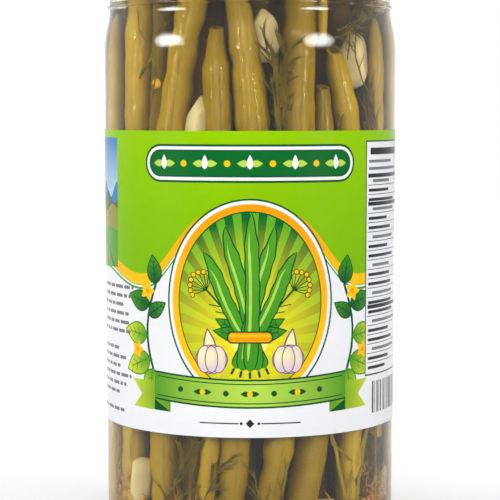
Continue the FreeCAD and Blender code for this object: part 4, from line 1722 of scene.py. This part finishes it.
# %% Cut the sheet
def cut_sheet():
    """Triangulates the sheet along every shape; gives corners, faces and the top shape of each face."""
    columns = np.linspace(-half_width, half_width, 131)
    outline = [(across, 0.0) for across in columns] + [(across, label_height) for across in columns[::-1]]
    points, edges, faces = [], [], []

    def add_loop(loop, is_face=True):
        start, count = len(points), len(loop)
        points.extend(Vector((float(x), float(y))) for x, y in loop)
        if is_face:
            faces.append(list(range(start, start + count)))
        else:
            edges.extend((start + step, start + (step + 1) % count) for step in range(count))

    add_loop(outline)
    for shape in shapes:
        add_loop(shape[0])
    for guide in guides:
        add_loop(guide, is_face=False)
    for across in columns:
        add_loop(((across, 0.0), (across, label_height)), is_face=False)
    cut_points, _, cut_faces, _, _, sources = delaunay_2d_cdt(points, edges, faces, 1, 1e-4)
    sheet = [(face, max(source)) for face, source in zip(cut_faces, sources) if 0 in source]
    used = sorted({corner for face, _ in sheet for corner in face})
    renumber = {old: new for new, old in enumerate(used)}
    flat = np.array([tuple(cut_points[corner]) for corner in used])
    return flat, [tuple(renumber[corner] for corner in face) for face, _ in sheet], [top for _, top in sheet]


# %% Wrap it round the glass
def wrapped(flat, lift):
    """Places of the sheet's corners round the body, a distance off the glass."""
    height = flat[:, 1] + label_low
    radius = body_radius_at(height) + lift
    angle = flat[:, 0] / label_radius
    return np.column_stack((radius * np.sin(angle), -radius * np.cos(angle), height))


def ink_at(top, spot):
    """Ink of the shape that lies on top, at one of its corners."""
    if top == 0:
        return inks["paper"]
    _, near_ink, far_ink, fade = shapes[top - 1]
    share = fade(spot) if fade else 0.0
    return near_ink * (1 - share) + far_ink * share


face_lift, back_lift = 0.19, 0.06     # off the glass, so the paper is 0.13 thick


def make_label():
    """Printed face, plain back and the cut edge between them: a closed sheet of paper."""
    flat, front, tops_of = cut_sheet()
    count = len(flat)
    sides = {(face[step], face[(step + 1) % len(face)]) for face in front for step in range(len(face))}
    rim = [(a, a + count, b + count, b) for a, b in sides if (b, a) not in sides]
    back = [tuple(corner + count for corner in reversed(face)) for face in front]
    corners = np.vstack((wrapped(flat, face_lift), wrapped(flat, back_lift)))
    piece = make_piece("label_printed", corners, front + back + rim, None)
    mesh = piece.data
    cut_edges = {frozenset(side) for side in sides if side[::-1] not in sides}
    cut_edges |= {frozenset(corner + count for corner in side) for side in cut_edges}
    mesh.attributes.new("sharp_edge", "BOOLEAN", "EDGE").data.foreach_set(
        "value", [frozenset(edge.vertices) in cut_edges for edge in mesh.edges])
    values = np.tile(inks["paper_back"], (len(mesh.loops), 1))
    for face, top in zip(mesh.polygons, tops_of):
        for loop in face.loop_indices:
            values[loop] = ink_at(top, flat[mesh.loops[loop].vertex_index])
    mesh.attributes.new("ink", "FLOAT_COLOR", "CORNER").data.foreach_set("color", values.ravel())
    return piece


# %% Paper and print
def make_label_material():
    material, tree, output = new_material("printed label paper")
    where = object_place(tree)
    print_colour = add(tree, "ShaderNodeAttribute", attribute_name="ink").outputs["Color"]
    patches = mottled(tree, where, 0.012)
    shade = mixed(tree, spread(tree, patches, 0.2, 0.8, 0.0, 0.04), print_colour, (0, 0, 0, 1))
    normal = grained(tree, where, 0.0007, 0.00003, 0.35)
    principled(tree, output, {"Base Color": shade, "Roughness": 0.23, "Specular IOR Level": 0.08,
                              "Normal": normal})
    return material


label = make_label()
label.data.materials.append(make_label_material())
finish_piece(label, "label_paper", "label")

# %% [markdown]
# ## The lid
# A twist-off lid is drawn from thin sheet: a button that pops up when the seal breaks, a
# panel, a raised rim, a skirt and a curl at its foot, in which six lugs are pressed.

# %% Lid
lid_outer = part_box("lid")[1][0] / mm
sheet = 0.4     # thickness of the tinplate


def lid_outline():
    skirt, rim_top = lid_outer, lid_high
    panel = rim_top - 1.5
    edge = mouth_radius - 1.1
    outside = [
        (0, panel - 0.5, 0), (9.0, panel - 0.5, 0.9), (10.0, panel, 0.9), (edge - 7.9, panel, 0.9),
        (edge - 7.1, panel + 0.4, 0.9), (edge - 1.0, panel + 0.4, 0.9), (edge, rim_top, 0.9),
        (skirt, rim_top, 1.7), (skirt, lid_low, 0.95), (skirt - 1.8, lid_low, 0.9),
        (skirt - 1.8, lid_low + 1.6, 0.15), (skirt - 1.4, lid_low + 1.6, 0.15),
        (skirt - 1.4, lid_low + sheet, 0.5), (skirt - sheet, lid_low + sheet, 0.5),
        (skirt - sheet, rim_top - sheet, 1.3), (edge - 0.3, rim_top - sheet, 0.5),
        (edge - 1.3, panel, 0.5), (edge - 7.4, panel, 0.5), (edge - 8.2, panel - 0.4, 0.5),
        (9.7, panel - 0.4, 0.5), (8.7, panel - 0.9, 0.5), (0, panel - 0.9, 0)]
    return subdivided(rounded(outside, 5), 3.0)


# %% Lugs and lacquer
def lug_dents(angles, radius, height):
    """Six lugs pressed inwards in the curl."""
    if height > lid_low + 2.6 or radius < lid_outer - 2.5:
        return np.zeros(len(angles))
    off_middle = abs((angles + 30) % 60 - 30)
    inwards = np.clip((8.0 - off_middle) / 3.0, 0, 1)
    foot = np.clip((lid_low + 2.6 - height) / 1.0, 0, 1)
    depth = 0.9 if radius < lid_outer - 1.2 else 0.35
    return -depth * inwards * inwards * (3 - 2 * inwards) * foot


def make_lid_material():
    material, tree, output = new_material("gold lacquer on tinplate")
    where = object_place(tree)
    patches = mottled(tree, where, 0.02)
    lacquer = mixed(tree, patches, (0.48, 0.31, 0.1, 1), (0.54, 0.36, 0.13, 1))
    rolled = add(tree, "ShaderNodeMapping", {"Vector": where, "Scale": (1, 0.03, 1)}).outputs[0]
    normal = grained(tree, rolled, 0.0004, 0.00002, 0.4)
    rough = spread(tree, patches, 0.2, 0.8, 0.46, 0.54)
    principled(tree, output, {"Base Color": lacquer, "Metallic": 1.0, "Roughness": rough, "Normal": normal})
    return material


lid = turned("lid_lacquered", lid_outline(), 288, make_lid_material(), lug_dents)
finish_piece(lid, "lid_metal", "lid")

# %% Sealing ring
seal_material, seal_nodes, seal_output = new_material("sealing compound")
seal_where = object_place(seal_nodes)
seal_patches = mottled(seal_nodes, seal_where, 0.008)
principled(seal_nodes, seal_output, {
    "Base Color": mixed(seal_nodes, seal_patches, colour(226, 222, 208), colour(208, 204, 188)),
    "Roughness": 0.6, "Specular IOR Level": 0.3})
for material_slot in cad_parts["lid_seal"].material_slots:
    material_slot.material = seal_material

# %% [markdown]
# ## Floor, light and camera
# Two low softboxes stand left and right, a little behind the line of the label, so they
# draw an upright sheen down each side of the label and a window on each side of the
# shoulder. Wider ones in front, behind and above fill in; they are kept out of reflections,
# so that they draw no windows of their own. White round the jar comes from the world and
# the floor as the camera sees them directly, in metal or glass, or through glass. It ends
# at the first matt surface, so it puts no more light on the object.

# %% World
def seen_white(tree):
    """1 for rays that look at the studio, directly, in metal or glass, or through glass."""
    ray = add(tree, "ShaderNodeLightPath").outputs
    looks = maths(tree, "MAXIMUM", ray["Is Camera Ray"],
                  maths(tree, "MAXIMUM", ray["Is Glossy Ray"], ray["Is Transmission Ray"]))
    return times(tree, looks, maths(tree, "LESS_THAN", ray["Diffuse Depth"], 0.5))


world = bpy.data.worlds.new("studio")
bpy.context.scene.world = world
world.use_nodes = True
tree = world.node_tree
tree.nodes.clear()
ambient = 0.08
strength = add(tree, "ShaderNodeMix", {"Factor": seen_white(tree), "A": ambient, "B": 1.0}).outputs[0]
background = add(tree, "ShaderNodeBackground", {"Color": (1, 1, 1, 1), "Strength": strength})
tree.links.new(background.outputs[0], add(tree, "ShaderNodeOutputWorld").inputs[0])

# %% Floor
floor_material, tree, output = new_material("pale studio floor")
where = object_place(tree)
away = add(tree, "ShaderNodeVectorMath", {0: where}, operation="LENGTH").outputs["Value"]
paint = add(tree, "ShaderNodeBsdfDiffuse", {"Color": (0.86, 0.86, 0.86, 1)})
glow = add(tree, "ShaderNodeEmission", {"Color": (1, 1, 1, 1),
           "Strength": times(tree, seen_white(tree), spread(tree, away, 0.06, 0.5, 0.45, 1.0))})
lit = add(tree, "ShaderNodeAddShader", {0: paint.outputs[0], 1: glow.outputs[0]})
tree.links.new(lit.outputs[0], output.inputs["Surface"])
floor_half = 2000.0
floor = make_piece("studio_floor", [(-floor_half, -floor_half, 0), (floor_half, -floor_half, 0),
                                    (floor_half, floor_half, 0), (-floor_half, floor_half, 0)],
                   [(0, 1, 2, 3)], floor_material, smooth=False)


# %% Softboxes
def softbox(name, angle, elevation, distance, width, height, power, mirrored=True):
    """Area lamp that looks at the middle of the jar from an angle and elevation."""
    data = bpy.data.lights.new(name, "AREA")
    data.shape, data.size, data.size_y, data.energy = "ELLIPSE", width, height, power
    data.use_nodes = True
    cloth = data.node_tree
    glow = next(node for node in cloth.nodes if node.type == "EMISSION")
    across = add(cloth, "ShaderNodeNewGeometry").outputs["Parametric"]
    off_middle = add(cloth, "ShaderNodeVectorMath", {0: across, 1: (0.5, 0.5, 0)}, operation="DISTANCE")
    cloth.links.new(spread(cloth, off_middle.outputs["Value"], 0.22, 0.5, 1.0, 0.3), glow.inputs["Strength"])
    lamp = bpy.data.objects.new(name, data)
    bpy.context.collection.objects.link(lamp)
    rise = math.radians(elevation)
    flat = place(distance * math.cos(rise), angle, 0)
    centre = Vector((0, 0, 0.10))
    lamp.location = Vector((flat[0], flat[1], distance * math.sin(rise))) + centre
    lamp.rotation_euler = (centre - lamp.location).to_track_quat("-Z", "Y").to_euler()
    lamp.visible_camera = False
    lamp.visible_glossy = mirrored
    print("%-14s %4.1f W at %4.0f degrees" % (name, power, angle))


softbox("softbox_left", -65.0, 10.6, 1.30, 0.62, 0.25, 13.0)
softbox("softbox_right", 54.0, 10.6, 1.30, 0.62, 0.25, 11.5)
softbox("front_fill", -6, 18, 1.30, 0.8, 0.8, 6.5, mirrored=False)
softbox("back_fill", 175, 25, 1.30, 0.8, 0.8, 4.0, mirrored=False)
softbox("top_fill", 0, 70, 1.40, 0.8, 0.8, 5.0, mirrored=False)

# %% Camera
camera_distance = 0.550
camera_height = 0.128
camera_tilt = 4.31
camera_data = bpy.data.cameras.new("camera")
camera_data.sensor_width = 36
camera_data.lens = 135.8
camera = bpy.data.objects.new("camera", camera_data)
bpy.context.collection.objects.link(camera)
camera.location = (0, -camera_distance, camera_height)
camera.rotation_euler = (math.radians(90 - camera_tilt), 0, 0)
bpy.context.scene.camera = camera
bpy.context.scene.view_settings.view_transform = "Standard"
